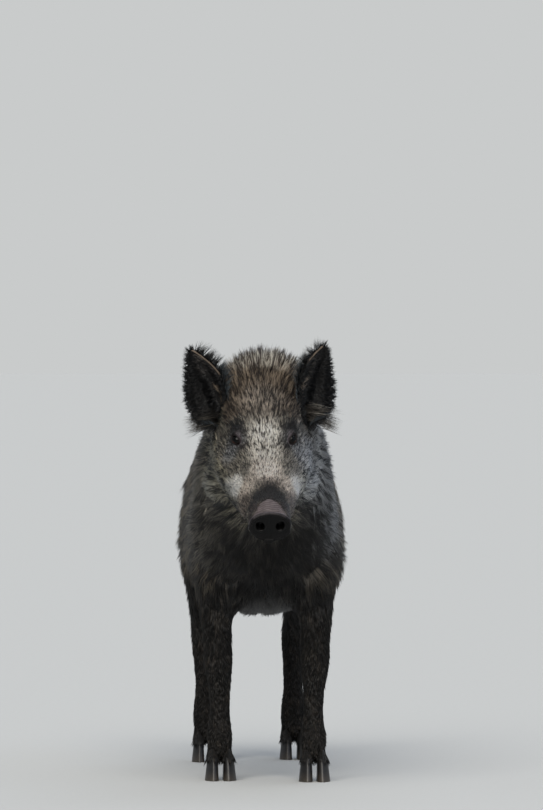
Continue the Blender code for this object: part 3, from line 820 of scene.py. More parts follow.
# Head markings: name, side, back, up, radius, whether on both sides, pale, dark, share, strength.
MARKINGS = (
    ("forehead blaze", 0.000, 0.190, 0.075, 0.034, False, "#ece8de", "#3a3633", 0.66, 1.0),
    ("blaze below", 0.000, 0.155, 0.058, 0.030, False, "#ebe5da", "#3f3a36", 0.68, 1.0),
    ("bridge", 0.000, 0.115, 0.048, 0.030, False, "#f8ece0", "#4c423b", 0.77, 1.0),
    ("upper forehead", 0.000, 0.250, 0.098, 0.038, False, "#b0a598", "#302b26", 0.51, 0.85),
    ("beige band", 0.038, 0.094, 0.023, 0.023, True, "#e4d7ca", "#544a43", 0.75, 1.0),
    ("muzzle side", 0.044, 0.070, -0.002, 0.022, True, "#a3978b", "#403a37", 0.56, 1.0),
    ("arch halo", 0.003, 0.073, 0.036, 0.025, False, "#897d74", "#322925", 0.44, 0.6),
    ("halo side", 0.036, 0.060, 0.012, 0.020, True, "#7c7067", "#2a2422", 0.42, 0.8),
    ("dark arch", 0.003, 0.063, 0.034, 0.018, False, "#1a1213", "#050404", 0.08, 1.0),
    ("arch side", 0.017, 0.054, 0.030, 0.015, True, "#1d1516", "#060505", 0.08, 1.0),
    ("arch flank", 0.029, 0.040, 0.019, 0.012, True, "#2d2425", "#0c0a0a", 0.14, 1.0),
    ("patch top", 0.001, 0.046, 0.033, 0.018, False, "#2a2020", "#0a0707", 0.12, 1.0),
    ("patch side", 0.024, 0.032, 0.022, 0.012, True, "#453936", "#171212", 0.28, 1.0),
    ("rim side", 0.035, 0.022, 0.008, 0.014, True, "#4a403d", "#1b1716", 0.30, 1.0),
    ("moustache", 0.052, 0.120, 0.010, 0.021, True, "#fffdf8", "#86807a", 0.92, 1.0),
    ("right moustache", -0.052, 0.120, 0.010, 0.019, False, "#fffdf6", "#a89e92", 0.97, 0.9),
    ("moustache out", 0.062, 0.140, -0.002, 0.018, True, "#fbf6ea", "#453f39", 0.78, 0.9),
    ("eye ring", 0.049, 0.196, 0.055, 0.025, True, "#5e6066", "#121315", 0.30, 0.85),
    ("brow", 0.051, 0.212, 0.073, 0.019, True, "#292b2f", "#060607", 0.12, 1.0),
    ("lid fold", 0.045, 0.204, 0.063, 0.008, True, "#7d767a", "#353134", 0.55, 0.8),
    ("tear line", 0.037, 0.178, 0.052, 0.007, True, "#3a3331", "#151213", 0.20, 1.0),
    ("under eye", 0.060, 0.182, 0.036, 0.018, True, "#9d9fa2", "#323438", 0.48, 0.8),
    ("cheek streak in", 0.076, 0.185, -0.034, 0.026, True, "#f4eedd", "#262320", 0.66, 0.95),
    ("cheek streak out", 0.094, 0.232, -0.066, 0.030, True, "#efead9", "#22201d", 0.62, 0.95),
    ("dark cheek", 0.062, 0.222, -0.104, 0.028, True, "#3d3b38", "#151414", 0.22, 1.0),
    # Painted shade under the jaw and on the chin, where the head shades itself.
    ("jaw shade", 0.030, 0.120, -0.052, 0.040, True, "#3a3734", "#151413", 0.22, 1.0),
    ("chin", 0.000, 0.060, -0.040, 0.030, False, "#2c2a28", "#111010", 0.15, 1.0),
    ("temple", 0.082, 0.266, 0.052, 0.024, True, "#c9c0ac", "#2f2a25", 0.56, 0.85),
    ("ear root", 0.082, 0.272, 0.032, 0.022, True, "#a9a498", "#3b372f", 0.55, 0.8),
    # The next three are partly the coat's pale streaks and partly painted cool light: the paler, bluer cast of
    # her left side.
    ("left cheek", 0.072, 0.205, 0.000, 0.042, False, "#cccfd4", "#36393e", 0.60, 0.8),
    ("left streaks", 0.078, 0.190, -0.038, 0.028, False, "#ffffff", "#4c4e52", 0.84, 0.95),
    ("left jowl", 0.092, 0.238, -0.052, 0.040, False, "#f0f3f7", "#3b4047", 0.68, 0.9),
)


def ground_colours(places):
    """Pale colours, dark colours and shares of pale tufts before any marking."""
    pale, dark = np.empty((len(places), 3)), np.empty((len(places), 3))
    portion = np.empty(len(places))
    for name, index in NUMBER.items():
        ground = GROUND[name.split("_")[0]]
        here = part == index
        pale[here], dark[here], portion[here] = srgb(ground[0]), srgb(ground[1]), ground[2]
    return pale, dark, portion


def blend_in(colours, share, pale, dark, portion):
    share = share[:, None]
    colours[0][:] = colours[0] * (1 - share) + srgb(pale) * share
    colours[1][:] = colours[1] * (1 - share) + srgb(dark) * share
    colours[2][:] = colours[2] * (1 - share[:, 0]) + portion * share[:, 0]


SPOT_FULL, SPOT_END = 0.45, 1.35  # a marking is full and has ended at these shares of its radius
colours = list(ground_colours(places))
blend_in(colours, crest * (1 - share) * 0.8, "#8a7a63", "#1f1a16", 0.34)
blend_in(colours, ramp(height, 0.44, 0.28) * (1 - share), "#3b342d", "#141210", 0.20)
# Painted cool light: the front of her left side is drawn paler and bluer, as the cool light falls there.
cool_side_light = ramp(leftwards, 0.01, 0.11) * ramp(backwards, -0.10, -0.24) * ramp(height, 0.36, 0.46)
blend_in(colours, cool_side_light * (1 - crest) * ~on_ear * 0.85, "#c8cdd5", "#31373e", 0.52)
crown_top = is_part("crown") * ramp(height, 0.684, 0.706)
blend_in(colours, crown_top, "#bfbcb1", "#332b25", 0.31)
# Partly painted shade: inside each ear's cup the dark hair is made darker still, as the hollow lies in shade.
blend_in(colours, ear_inner, "#1c1f22", "#050506", 0.12)
in_ear_high = ear_inner * ramp(ear_high, 0.40, 0.80) * ramp(ear_wide, 0.3, -0.5)
blend_in(colours, in_ear_high * 0.9, "#77706a", "#151415", 0.46)
# Painted shade: the front of the neck under the head is darkened where the head shades it.
painted_throat_shade = ramp(np.abs(leftwards), 0.105, 0.050) * ramp(backwards, -0.12, -0.20) * ramp(height, 0.53, 0.47)
blend_in(colours, painted_throat_shade * (1 - share), "#4c4843", "#151413", 0.26)
furry_head = is_part("face", "cheek_left", "cheek_right", "crown", "throat")
for name, s, b, u, radius, both, pale, dark, portion, strength in MARKINGS:
    for sign in (1, -1) if both else (1,):
        away = np.linalg.norm(np.stack([side - sign * s, back - b, up - u], 1), axis=1)
        spot = ramp(away, radius * SPOT_END, radius * SPOT_FULL) * strength * furry_head
        blend_in(colours, spot, pale, dark, portion)
blend_in(colours, all_wisps, "#8f8a82", "#2b2622", 0.42)
# Painted shade: the head's hair in each ear's funnel is darkened, as it lies in the ear's hollow.
blend_in(colours, in_ear * furry_head, "#33373a", "#0b0b0c", 0.16)
pale, dark, portion = colours
print(len(MARKINGS), "markings on the head")

# %% [markdown]
# ## Growing the coat
# Each tuft is a closed spike: a triangle at the root, a second one half-way where the bristle is longer,
# and a point. Four faces draw a short lock of hair well from a step away, and three hundred and forty
# thousand of them stay light enough. They are sown over the triangles of the skin by area, laid along the
# hair's direction with a little scatter, and made as one joined mesh for each part of the animal.

# %% The unwrap that places each tuft's colours
# Every coat piece has a map named OFBake, on which a tuft covers a small patch at its root's place. The
# unwrap follows the shape: round the head, the barrel, each leg, each ear and the tail like a label.
PATCH = 0.003


def around(x, y):
    return np.arctan2(x, y) / (2 * math.pi) + 0.5


def spread(values):
    return 0.01 + 0.98 * (values - values.min()) / max(np.ptp(values), 1e-6)


def unwrap(name, roots):
    s, b, u = head_coordinates(roots).T
    x, y, z = roots.T
    if name in ("face", "throat") or name.startswith("cheek"):
        return np.stack([spread(around(s, u + 0.02)), spread(b)], 1)
    if name == "crown":
        return np.stack([spread(s), spread(b + u)], 1)
    if name.startswith("ear"):
        ear = middle(name)
        return np.stack([spread(around(x - ear.x, ear.y - y)), spread(z)], 1)
    if name == "legs":
        strip = (x > 0) * 0.25 + (y > middle("trunk").y) * 0.5
        turn = around(np.abs(x) - 0.082, np.where(y > middle("trunk").y, y - 0.43, y + 0.13))
        return np.stack([0.005 + strip + turn * 0.23, spread(z)], 1)
    if name == "tail":
        return np.stack([spread(around(x, y - middle("tail").y)), spread(z)], 1)
    return np.stack([spread(around(x, z - BARREL_HIGH)), spread(y)], 1)


print("a tuft's patch is", PATCH, "of the map across")


# %% Sow and shape the tufts
skin.data.calc_loop_triangles()
triangles = np.empty(len(skin.data.loop_triangles) * 3, np.int32)
skin.data.loop_triangles.foreach_get("vertices", triangles)
triangles = triangles.reshape(-1, 3)
corner = places[triangles]
areas = np.linalg.norm(np.cross(corner[:, 1] - corner[:, 0], corner[:, 2] - corner[:, 0]), axis=1) / 2
triangle_part = np.sort(part[triangles], axis=1)[:, 1]
any_bare = (part[triangles] == NUMBER["bare"]).any(1)
# The faces of a short and a long tuft, and how many corners it has.
SHORT = (np.array([[0, 2, 1], [0, 1, 3], [1, 2, 3], [2, 0, 3]]), 4)
LONG_WALL = [[0, 1, 4], [0, 4, 3], [1, 2, 5], [1, 5, 4], [2, 0, 3], [2, 3, 5]]
LONG = (np.array([[0, 2, 1], *LONG_WALL, [3, 4, 6], [4, 5, 6], [5, 3, 6]]), 7)
LOCK_PULL = 0.35  # how far each tip is drawn to its lock's tip
LOCK_COLOUR = 0.7  # share of tufts that take the colour of their lock
ROOT_DEEP = 0.0008  # how far a root lies in the skin
ROOT_SHADE = 0.45  # a root's share of the shaft's own brightness


def sow(rng, name, count):
    """Roots on a part of the skin, with every property of the skin read at each root."""
    own = np.nonzero((triangle_part == NUMBER[name]) & ~any_bare)[0]
    weights = areas[own] / (width[triangles[own]].mean(1) * length[triangles[own]].mean(1) ** 0.5)
    chosen = own[rng.choice(len(own), count, p=weights / weights.sum())]
    a, b = rng.random((2, count))
    flip = a + b > 1
    a, b = np.where(flip, 1 - a, a), np.where(flip, 1 - b, b)
    weights = np.stack([1 - a - b, a, b], 1)

    def read(values):
        values = values[triangles[chosen]]
        return (values * (weights[..., None] if values.ndim == 3 else weights)).sum(1)

    names = ("root", "out", "lie", "length", "width", "lift", "pale", "dark", "portion")
    fields = (places, outward, lie, length, width, lift, pale, dark, portion)
    return dict(zip(names, map(read, fields)))


def gather(rng, roots, lock):
    """Splits the tufts into locks of about so many. Each tuft gets the number of its lock's leader."""
    leaders = rng.choice(len(roots), max(len(roots) // lock, 1), replace=False)
    tree = KDTree(len(leaders))
    for leader in leaders:
        tree.insert(roots[leader], leader)
    tree.balance()
    return np.array([tree.find(root)[1] for root in roots])


def spikes(rng, seeds, leader, long, scatter, tip_lift):
    """The corners of every tuft: (tufts, corners, 3)."""
    count = len(leader)
    out = unit(seeds["out"])
    lay = unit(seeds["lie"] - out * (seeds["lie"] * out).sum(1)[:, None])
    aside = np.cross(out, lay)
    turn = rng.normal(0, math.radians(scatter), count)
    turn = (0.4 * turn + 0.9 * turn[leader])[:, None]
    lay, aside = lay * np.cos(turn) + aside * np.sin(turn), aside * np.cos(turn) - lay * np.sin(turn)
    rise = seeds["lift"] * rng.uniform(0.65, 1.35, count)
    rise = np.radians(0.5 * rise + 0.5 * rise[leader])[:, None]
    reach = (seeds["length"] * rng.uniform(0.70, 1.20, count) / 1000)[:, None]
    half = (seeds["width"] * rng.uniform(0.75, 1.25, count) / 2000)[:, None]
    later = rise * tip_lift
    start = seeds["root"] - out * np.minimum(ROOT_DEEP, reach * 0.05)
    half_way = start + (lay * np.cos(rise) + out * np.sin(rise)) * reach * 0.5
    tip = half_way + (lay * np.cos(later) + out * np.sin(later)) * reach * 0.5
    tip = tip * (1 - LOCK_PULL) + tip[leader] * LOCK_PULL
    wide, thick = aside * half, (out * np.cos(rise) - lay * np.sin(rise)) * half * 0.9
    triangle = [start - wide, start + wide, start + thick]
    upper = [half_way - wide * 0.8, half_way + wide * 0.8, half_way + thick * 0.8]
    return np.stack([*triangle, *(upper if long else []), tip], 1)


def tint(rng, seeds, leader, long, pale_length):
    """Root, shaft and tip colours of every tuft. A pale tuft is pale down from its tip by pale_length."""
    count = len(leader)
    dice = rng.random(count)
    dice = np.where(rng.random(count) < LOCK_COLOUR, dice[leader], dice)
    is_pale = (dice < seeds["portion"])[:, None]
    tone = rng.uniform(0.72, 1.25, count)[:, None]
    tip = np.where(is_pale, seeds["pale"], seeds["dark"]) * tone
    root = seeds["dark"] * ROOT_SHADE
    shaft = np.where(is_pale, tip * pale_length + seeds["dark"] * (0.9 - 0.9 * pale_length), tip * 0.8)
    stack = [root if long else (root + shaft) / 2] * 3 + ([shaft] * 3 if long else []) + [tip * 1.05]
    rows = np.minimum(np.stack(stack, 1), 0.9)
    return np.concatenate([rows, np.ones((*rows.shape[:2], 1))], 2)


def tuft_piece(name, part_name, rng, seeds, long=False, lock=8, scatter=12, tip_lift=0.35, pale_length=0.6):
    """Every tuft of the seeds in one joined mesh, with its colours and its map."""
    count = len(seeds["root"])
    leader = gather(rng, seeds["root"], lock)
    faces, corners = LONG if long else SHORT
    points = spikes(rng, seeds, leader, long, scatter, tip_lift).reshape(-1, 3)
    all_faces = (faces + np.arange(count)[:, None, None] * corners).reshape(-1, 3)
    mesh = bpy.data.meshes.new(name)
    mesh.from_pydata(points, [], all_faces)
    rows = tint(rng, seeds, leader, long, pale_length).astype(np.float32).ravel()
    mesh.color_attributes.new("coat_colour", "FLOAT_COLOR", "POINT").data.foreach_set("color", rows)
    levels = [0] * 3 + ([0.55] * 3 if long else []) + [1]
    sides = [-1, 1, 0] * (2 if long else 1) + [0]
    offset = np.stack([np.array(sides) / 2, np.array(levels) - 0.5], 1) * PATCH
    where = (unwrap(part_name, seeds["root"])[:, None] + offset).reshape(-1, 2)
    corner_places = where[all_faces.ravel()].astype(np.float32).ravel()
    mesh.uv_layers.new(name="OFBake").data.foreach_set("uv", corner_places)
    mesh.shade_smooth()
    piece = bpy.data.objects.new(name, mesh)
    bpy.context.scene.collection.objects.link(piece)
    return piece


# Each part has a row of its own; the left and right parts of a pair share one.
TUFTS = {
    "face": dict(count=48500, lock=4, scatter=9, pale_length=0.8),
    "cheek": dict(count=32000, lock=14, pale_length=0.8),
    "crown": dict(count=19500, long=True, lock=9, scatter=9, tip_lift=0.92, pale_length=0.42),
    "throat": dict(count=5000),
    "ear": dict(count=17000, scatter=15),
    "neck": dict(count=33000, lock=14),
    "trunk": dict(count=34500, lock=14, scatter=11),
    "legs": dict(count=30000, scatter=9),
    "tail": dict(count=4600, scatter=9),
}
coats = []
for index, name in enumerate(PARTS[:-1]):
    rng = np.random.default_rng(10 + index)
    settings = dict(TUFTS[name.split("_")[0]])
    seeds = sow(rng, name, settings.pop("count"))
    coats.append(tuft_piece(f"coat_{name}", name, rng, seeds, **settings))
print(sum(len(piece.data.polygons) for piece in coats), "triangles of coat")

# %% [markdown]
# ## Eyeballs
# The eye is nearly black: a dark brown iris round a wide pupil, all under one wet, curved cornea. A sphere
# primitive is turned so that its poles look out of the lids, and the front cap is drawn out a little.

# %% Eyeballs
CORNEA_BULGE, CORNEA_EDGE = 0.0011, 0.72  # its height, and where it starts as a share of the radius


def eyeball(eye_side, sign):
    sizes = dict(segments=48, ring_count=32, radius=BALL_RADIUS)
    ball = primitive(f"eyeball_{eye_side}", bpy.ops.mesh.primitive_uv_sphere_add, **sizes)
    points = points_of(ball)
    cap = ramp(points[:, 2] / BALL_RADIUS, CORNEA_EDGE, 1.0)
    points[:, 2] += CORNEA_BULGE * cap
    put_points(ball, points @ eye_axes(sign) + ball_centre(eye_side, sign))
    face_outwards(ball)
    bpy.ops.object.shade_smooth()
    return ball


eyeballs = {eye_side: eyeball(eye_side, sign) for eye_side, sign in SIDES}
print("eyeballs", round(eye_radius * 2000), "mm across")

# %% [markdown]
# ## Hooves and dewclaws
# A pig stands on two toes of each foot, each in a hoof of dark horn with a flat sole, a steep wall that
# grows in rings, and a straight side towards the cleft. A filled circle takes the sole's outline, and
# extruding it upwards ring by ring, with each ring a little smaller and further back, makes the wall. One
# function does hooves and the small dewclaws behind them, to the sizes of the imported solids.

# %% Hooves
WALL_RINGS = 12
RING_RELIEF = 0.008  # every other ring stands out by this share
HORN_DRIFTS = {"hoof": (0.02, 0.30), "dewclaw": (0.45, 0.75)}  # backward and taper


def horn(name, backward, taper):
    """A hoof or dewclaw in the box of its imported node. Its rings drift backward and taper as they rise."""
    low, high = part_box(name)
    size, centre = high - low, (low + high) / 2
    foot = name.rsplit("_", 1)[0].replace("dewclaw", "hoof")
    cleft = (middle(f"{foot}_inner").x + middle(f"{foot}_outer").x) / 2
    inwards = math.copysign(1, cleft - centre.x)
    sole = dict(vertices=44, radius=0.5, fill_type="NGON")
    made = primitive(f"{name}_horn", bpy.ops.mesh.primitive_circle_add, **sole)
    points = points_of(made)
    towards_cleft = points[:, 0] * inwards
    # Ahead of its middle the outline draws in to a blunt point, more from the outer side.
    ahead = np.clip(-points[:, 1] * 2, 0, 1)
    points[:, 0] *= 1 - np.where(towards_cleft > 0, 0.20, 0.46) * ahead**1.8
    points[:, 0] = np.where(towards_cleft > 0.34, 0.34 * inwards, points[:, 0])
    low_x, high_x = points[:, 0].min(), points[:, 0].max()
    points[:, 0] = (points[:, 0] - low_x) / (high_x - low_x) - 0.5
    long = size.y * (1 - backward)
    points = points * (size.x, long, 1) + (centre.x, low.y + long / 2, low.z)
    put_points(made, points)

    only(made)
    bpy.ops.object.mode_set(mode="EDIT")
    bpy.ops.mesh.select_all(action="SELECT")
    rise = size.z / WALL_RINGS
    for ring in range(WALL_RINGS):
        bpy.ops.mesh.extrude_region_move(
            TRANSFORM_OT_translate={"value": (0, size.y * backward / WALL_RINGS, rise)}
        )
        shrink = 1 - taper / WALL_RINGS + (RING_RELIEF if ring % 2 else -RING_RELIEF)
        relief = 0.75 * RING_RELIEF
        wide_shrink = 1 - 0.9 * taper / WALL_RINGS + (relief if ring % 2 else -relief)
        pivot = (centre.x + inwards * size.x * 0.3, low.y + size.y * (0.85 if taper < 0.4 else 0.6), 0)
        bpy.ops.transform.resize(value=(wide_shrink, shrink, 1), center_override=pivot)
    bpy.ops.mesh.select_all(action="SELECT")
    bpy.ops.mesh.normals_make_consistent(inside=False)
    bpy.ops.object.mode_set(mode="OBJECT")
    modified(made, "BEVEL", width=0.0010, segments=2, limit_method="ANGLE", angle_limit=math.radians(50))
    bpy.ops.object.shade_smooth_by_angle(angle=math.radians(35))
    return made


horn_nodes = [name for name in sorted(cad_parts) if name.startswith(("hoof_", "dewclaw_"))]
horns = {name: horn(name, *HORN_DRIFTS[name.split("_")[0]]) for name in horn_nodes}
print(len(horns), "hooves and dewclaws")

# %% [markdown]
# ## Whiskers, wisps and coronets
# Long single bristles stand out of the upper lip, the chin, the cheeks and the brow, and long soft wisps
# hang sideways below each ear. At the top of each hoof, the coronet, a fringe of hair falls over the edge of
# the horn. The same tuft function draws them all, from seeds with their own lengths and directions.

# %% Whiskers
WHISKERS = (
    # side, back, up, spread, how many on each side, length in mm
    (0.040, 0.045, -0.008, 0.016, 26, 38),
    (0.022, 0.060, -0.036, 0.018, 22, 34),
    (0.050, 0.224, 0.074, 0.010, 10, 30),
    (0.060, 0.150, -0.030, 0.014, 10, 36),
)


def coloured(seeds, pale_code, dark_code, portion_of_pale):
    count = len(seeds["root"])
    seeds["pale"] = np.tile(srgb(pale_code), (count, 1))
    seeds["dark"] = np.tile(srgb(dark_code), (count, 1))
    seeds["portion"] = np.full(count, portion_of_pale)
    return seeds


def sized(seeds, length_mm, width_mm, lift_degrees):
    count = len(seeds["root"])
    sizes = dict(length=length_mm, width=width_mm, lift=lift_degrees)
    seeds.update({key: np.broadcast_to(np.asarray(value, float), count) for key, value in sizes.items()})
    return seeds


def seated(wanted):
    """For each wanted place, the nearest point of the head's furry skin."""
    furry = np.nonzero(is_part("face", "cheek_left", "cheek_right", "crown", "throat"))[0]
    tree = KDTree(len(furry))
    for index in furry:
        tree.insert(places[index], index)
    tree.balance()
    return np.array([tree.find(spot)[1] for spot in wanted])


def whiskers():
    rng = np.random.default_rng(77)
    wanted, lengths = [], []
    for s, b, u, spread_by, count, long in WHISKERS:
        for sign in (1, -1):
            wanted.append(np.array([s * sign, b, u]) + rng.normal(0, spread_by / 2, (count, 3)))
            lengths += [long] * count
    seats = seated(from_head(np.concatenate(wanted)))
    seeds = dict(root=places[seats], out=outward[seats], lie=lie[seats])
    seeds = sized(seeds, lengths, width_mm=0.55, lift_degrees=34)
    seeds = coloured(seeds, "#6a6058", "#14110f", 0.15)
    return tuft_piece("whiskers", "face", rng, seeds, long=True, lock=1, scatter=18, tip_lift=0.5)


whisker_piece = whiskers()
print(len(whisker_piece.data.polygons) // len(LONG[0]), "whiskers")

# %% Wisps below the ears
WISP_COUNT = 240  # below each ear
WISP_TONES = {"left": ("#a5a198", "#3f3b36", 0.55), "right": ("#6f695f", "#1c1a17", 0.40)}


def ear_wisps(ear_side, sign):
    rng = np.random.default_rng(90 + sign)
    axis, lateral, facing = ear_axes(ear_side, sign)
    start = ear_ends(ear_side)[0] + lateral * 0.010 + axis * 0.008
    seats = seated(start + rng.normal(0, 0.008, (WISP_COUNT, 3)))
    fall = rng.normal((sign, -0.08, -0.30), (0.05, 0.12, 0.17), (WISP_COUNT, 3))
    ahead = np.tile((0.0, -1.0, 0.25), (WISP_COUNT, 1))
    seeds = dict(root=places[seats] + outward[seats] * 0.004, out=ahead, lie=fall)
    seeds = sized(seeds, length_mm=54, width_mm=0.65, lift_degrees=7)
    seeds = coloured(seeds, *WISP_TONES[ear_side])
    tufts = dict(long=True, lock=12, scatter=8, tip_lift=0.2)
    return tuft_piece(f"ear_wisps_{ear_side}", "face", rng, seeds, **tufts)


wisps = [ear_wisps(ear_side, sign) for ear_side, sign in SIDES]
print(WISP_COUNT, "long tufts below each ear")

# %% Coronets
CORONET_COUNT = 680  # on each hoof
CORONET_DOME = np.array((0, 0.003, 0.016))  # from the edge of the horn to the top of the dome


def coronets():
    """Roots are spread over a low dome on the top of each hoof, and the hair lies down its wall."""
    rng = np.random.default_rng(78)
    roots, outs, lies = [], [], []
    for node in horn_nodes:
        if node.startswith("dewclaw"):
            continue
        points = points_of(horns[node])
        edge = points[points[:, 2] > points[:, 2].max() - 0.004]
        sole = points[points[:, 2] < 0.004]
        low, high = edge.min(0), edge.max(0)
        centre = (low + high) / 2
        from_middle = edge[rng.integers(len(edge), size=CORONET_COUNT)] - centre
        inwards = rng.random((CORONET_COUNT, 1))
        root = centre + from_middle * (1.10 - 0.85 * inwards) + CORONET_DOME * inwards
        # The wall below a root leads to the same share of the sole's width and length.
        below = sole.min(0) + (root - low) / np.maximum(high - low, 0.001) * np.ptp(sole, axis=0)
        roots.append(root)
        lies.append(unit((below - root) * (1, 1, 0) + (0, 0, -0.040)))
        outs.append(unit(from_middle * (1, 1, 0) + (0, 0, 0.004)))
    seeds = dict(root=np.concatenate(roots), out=np.concatenate(outs), lie=np.concatenate(lies))
    seeds = sized(seeds, length_mm=15, width_mm=1.5, lift_degrees=5)
    seeds = coloured(seeds, *GROUND["legs"])
    return tuft_piece("coat_coronets", "legs", rng, seeds, scatter=8)


coronet_piece = coronets()
print(len(coronet_piece.data.polygons) // len(SHORT[0]), "tufts on the coronets")

# %% [markdown]
# ## Materials
# All of them start from the Principled shader. Patterns come from noise at real sizes, and a marking comes
# from the colour that each point of the skin or the coat carries. A recipe is given the material's nodes and
# the place on the object, and says what goes into the shader's sockets.


# %% Building blocks of a material
def add(tree, kind, inputs=None, **settings):
    """Adds a node, sets its settings and fills its inputs with values, hex colours or links."""
    node = tree.nodes.new(kind)
    for setting, value in settings.items():
        setattr(node, setting, value)
    for socket, value in (inputs or {}).items():
        if isinstance(value, bpy.types.NodeSocket):
            tree.links.new(value, node.inputs[socket])
        else:
            hex_code = isinstance(value, str)
            node.inputs[socket].default_value = (*srgb(value), 1) if hex_code else value
    return node


def attribute(tree, name, output="Color"):
    return add(tree, "ShaderNodeAttribute", attribute_name=name).outputs[output]


def noise(tree, place, scale, detail):
    inputs = {"Vector": place, "Scale": scale, "Detail": detail}
    return add(tree, "ShaderNodeTexNoise", inputs).outputs["Fac"]


def led(tree, value, start=(0.0, 1.0), stop=(0.0, 1.0)):
    """The value led from one range to another, and held inside it."""
    inputs = {"Value": value, "From Min": start[0], "From Max": start[1]}
    inputs.update({"To Min": stop[0], "To Max": stop[1]})
    return add(tree, "ShaderNodeMapRange", inputs).outputs[0]


def scaled(tree, colour, amount):
    inputs = {0: colour, "Scale": amount}
    return add(tree, "ShaderNodeVectorMath", inputs, operation="SCALE").outputs[0]


def blended(tree, share, first, second):
    inputs = {0: share, 6: first, 7: second}
    return add(tree, "ShaderNodeMix", inputs, data_type="RGBA").outputs[2]


def relief(tree, height, strength, depth):
    inputs = {"Height": height, "Strength": strength, "Distance": depth}
    return add(tree, "ShaderNodeBump", inputs).outputs[0]


def new_material(name, recipe):
    made = bpy.data.materials.new(name)
    made.use_nodes = True
    tree = made.node_tree
    tree.nodes.clear()
    place = add(tree, "ShaderNodeTexCoord").outputs["Object"]
    shader = add(tree, "ShaderNodeBsdfPrincipled", recipe(tree, place))
    add(tree, "ShaderNodeOutputMaterial", {"Surface": shader.outputs[0]})
    return made


print("material helpers ready")


# %% Bristle
# Keratin hair, uncombed and weathered. Single hairs gleam along their length, a mass of them looks satin:
# a middling roughness and a faint gloss. The colour is each tuft's own, with a slow drift over the body.
def bristle(tree, place):
    drift = led(tree, noise(tree, place, 22.0, 3.0), (0.3, 0.7), (0.78, 1.16))
    colour = scaled(tree, attribute(tree, "coat_colour"), drift)
    return {"Base Color": colour, "Roughness": 0.52, "Specular IOR Level": 0.35, "IOR": 1.55}


coat_material = new_material("keratin_bristle", bristle)
coats += [whisker_piece, *wisps, coronet_piece]
for piece in coats:
    piece.data.materials.append(coat_material)
print("bristle on", len(coats), "pieces")


# %% Hide
# Living skin under hair: dry and dark. Where it is bare, on the disc and above it, it is moist leather
# with fine polygonal grain. The share of bare skin is an attribute, so one material does both.
def hide(tree, place):
    voronoi = {"Vector": place, "Scale": 620.0}
    grain = add(tree, "ShaderNodeTexVoronoi", voronoi, feature="DISTANCE_TO_EDGE").outputs["Distance"]
    grain_and_pores = {0: grain, 1: 0.6, 2: noise(tree, place, 900.0, 2.0)}
    height = add(tree, "ShaderNodeMath", grain_and_pores, operation="MULTIPLY_ADD").outputs[0]
    blotches = led(tree, noise(tree, place, 150.0, 5.0), (0.3, 0.7), (0.72, 1.22))
    return {
        "Base Color": scaled(tree, attribute(tree, "coat_colour"), blotches),
        "Roughness": led(tree, attribute(tree, "moist", "Fac"), stop=(0.72, 0.40)),
        "Specular IOR Level": 0.20,
        "IOR": 1.45,
        "Normal": relief(tree, height, 0.55, 0.0006),
    }


UNDER_HAIR = 0.42  # the hide's share of the coat's own colour
# The disc tone is dark leather darkened further as painted shade, and the nostril tone is painted shade in
# their holes.
BARE_TONES = {
    "disc": "#060505",
    "nostril": "#020202",
    "rim": "#3e383c",
    "patch": "#544c4d",
    "lid": "#1a1617",
    "lid_fold": "#453f43",
    "ear_rim": "#63584e",
}


def skin_colours():
    """The coat's markings, darkened as skin is under hair, and the bare skin's colours, with painted shade on
    the disc, in its nostrils and in the furrows above it.
    """
    tone = {name: srgb(code) for name, code in BARE_TONES.items()}
    colour = (dark * (1 - portion[:, None]) + pale * portion[:, None]) * UNDER_HAIR
    bare = is_part("bare")
    colour[bare] = tone["lid"]
    for eye_side, sign in SIDES:
        x, y, _ = from_eye(places, eye_side, sign)
        level = opening_level(x, y)
        fold = ramp(level, 1.12, 1.30) * ramp(level, 2.4, 1.9) * ramp(y - 0.6 * x, 0.0, 0.006)
        fold = (fold * bare)[:, None]
        colour = colour * (1 - fold) + tone["lid_fold"] * fold
    colour[bare & on_ear] = tone["ear_rim"]
    snout_skin = bare & is_head & (back < 0.06)
    # Painted shade and light on the wrinkles: the gathered skin is darker in its furrows and paler on its
    # folds.
    colour[snout_skin] = (tone["patch"] * (0.55 + 0.55 * ripples(side, back))[:, None])[snout_skin]
    level = disc_level(side, up)
    on_plate = snout_skin & (level < 0.86) & (back < 0.030)
    on_disc = snout_skin & (back < 0.0085)
    edge = (ramp(level, 0.95, 1.02) * ramp(up, -0.006, 0.014))[:, None]
    # Painted shade: the disc, its plate, the lip below it and the insides of the nostrils take near-black
    # tones.
    colour[on_disc] = (tone["disc"] * (1 - edge) + tone["rim"] * edge)[on_disc]
    colour[on_plate] = tone["disc"]
    colour[(on_plate & (back > 0.0042)) | (bare & in_nostril)] = tone["nostril"]
    colour[snout_skin & (back < 0.0150) & (up < -0.012)] = tone["disc"]
    return colour, snout_skin.astype(float)


colour_rows, moist_rows = skin_colours()
colour_rows = np.column_stack([colour_rows, np.ones(len(colour_rows))]).astype(np.float32)
layer = skin.data.color_attributes.new("coat_colour", "FLOAT_COLOR", "POINT")
layer.data.foreach_set("color", colour_rows.ravel())
layer = skin.data.attributes.new("moist", "FLOAT", "POINT")
layer.data.foreach_set("value", moist_rows.astype(np.float32))
skin.data.materials.clear()
skin.data.materials.append(new_material("boar_hide", hide))
print("the hide carries the coat's markings")

# %% Eye
# A dark brown iris behind a wet cornea, reddish where the lower lid meets it. Its brown shows only low down;
# above, it is kept near black as painted shade from the upper lid. The clear coat is the tear film, which is
# what catches the light. The rings' stops run from 0 at the ball's side to 1 at its front.
IRIS = ((0.30, "#1a100d"), (0.93, "#020202"), (0.62, "#0b0605"), (0.70, "#0f0805"))
IRIS += ((0.86, "#080403"), (0.90, "#010101"))


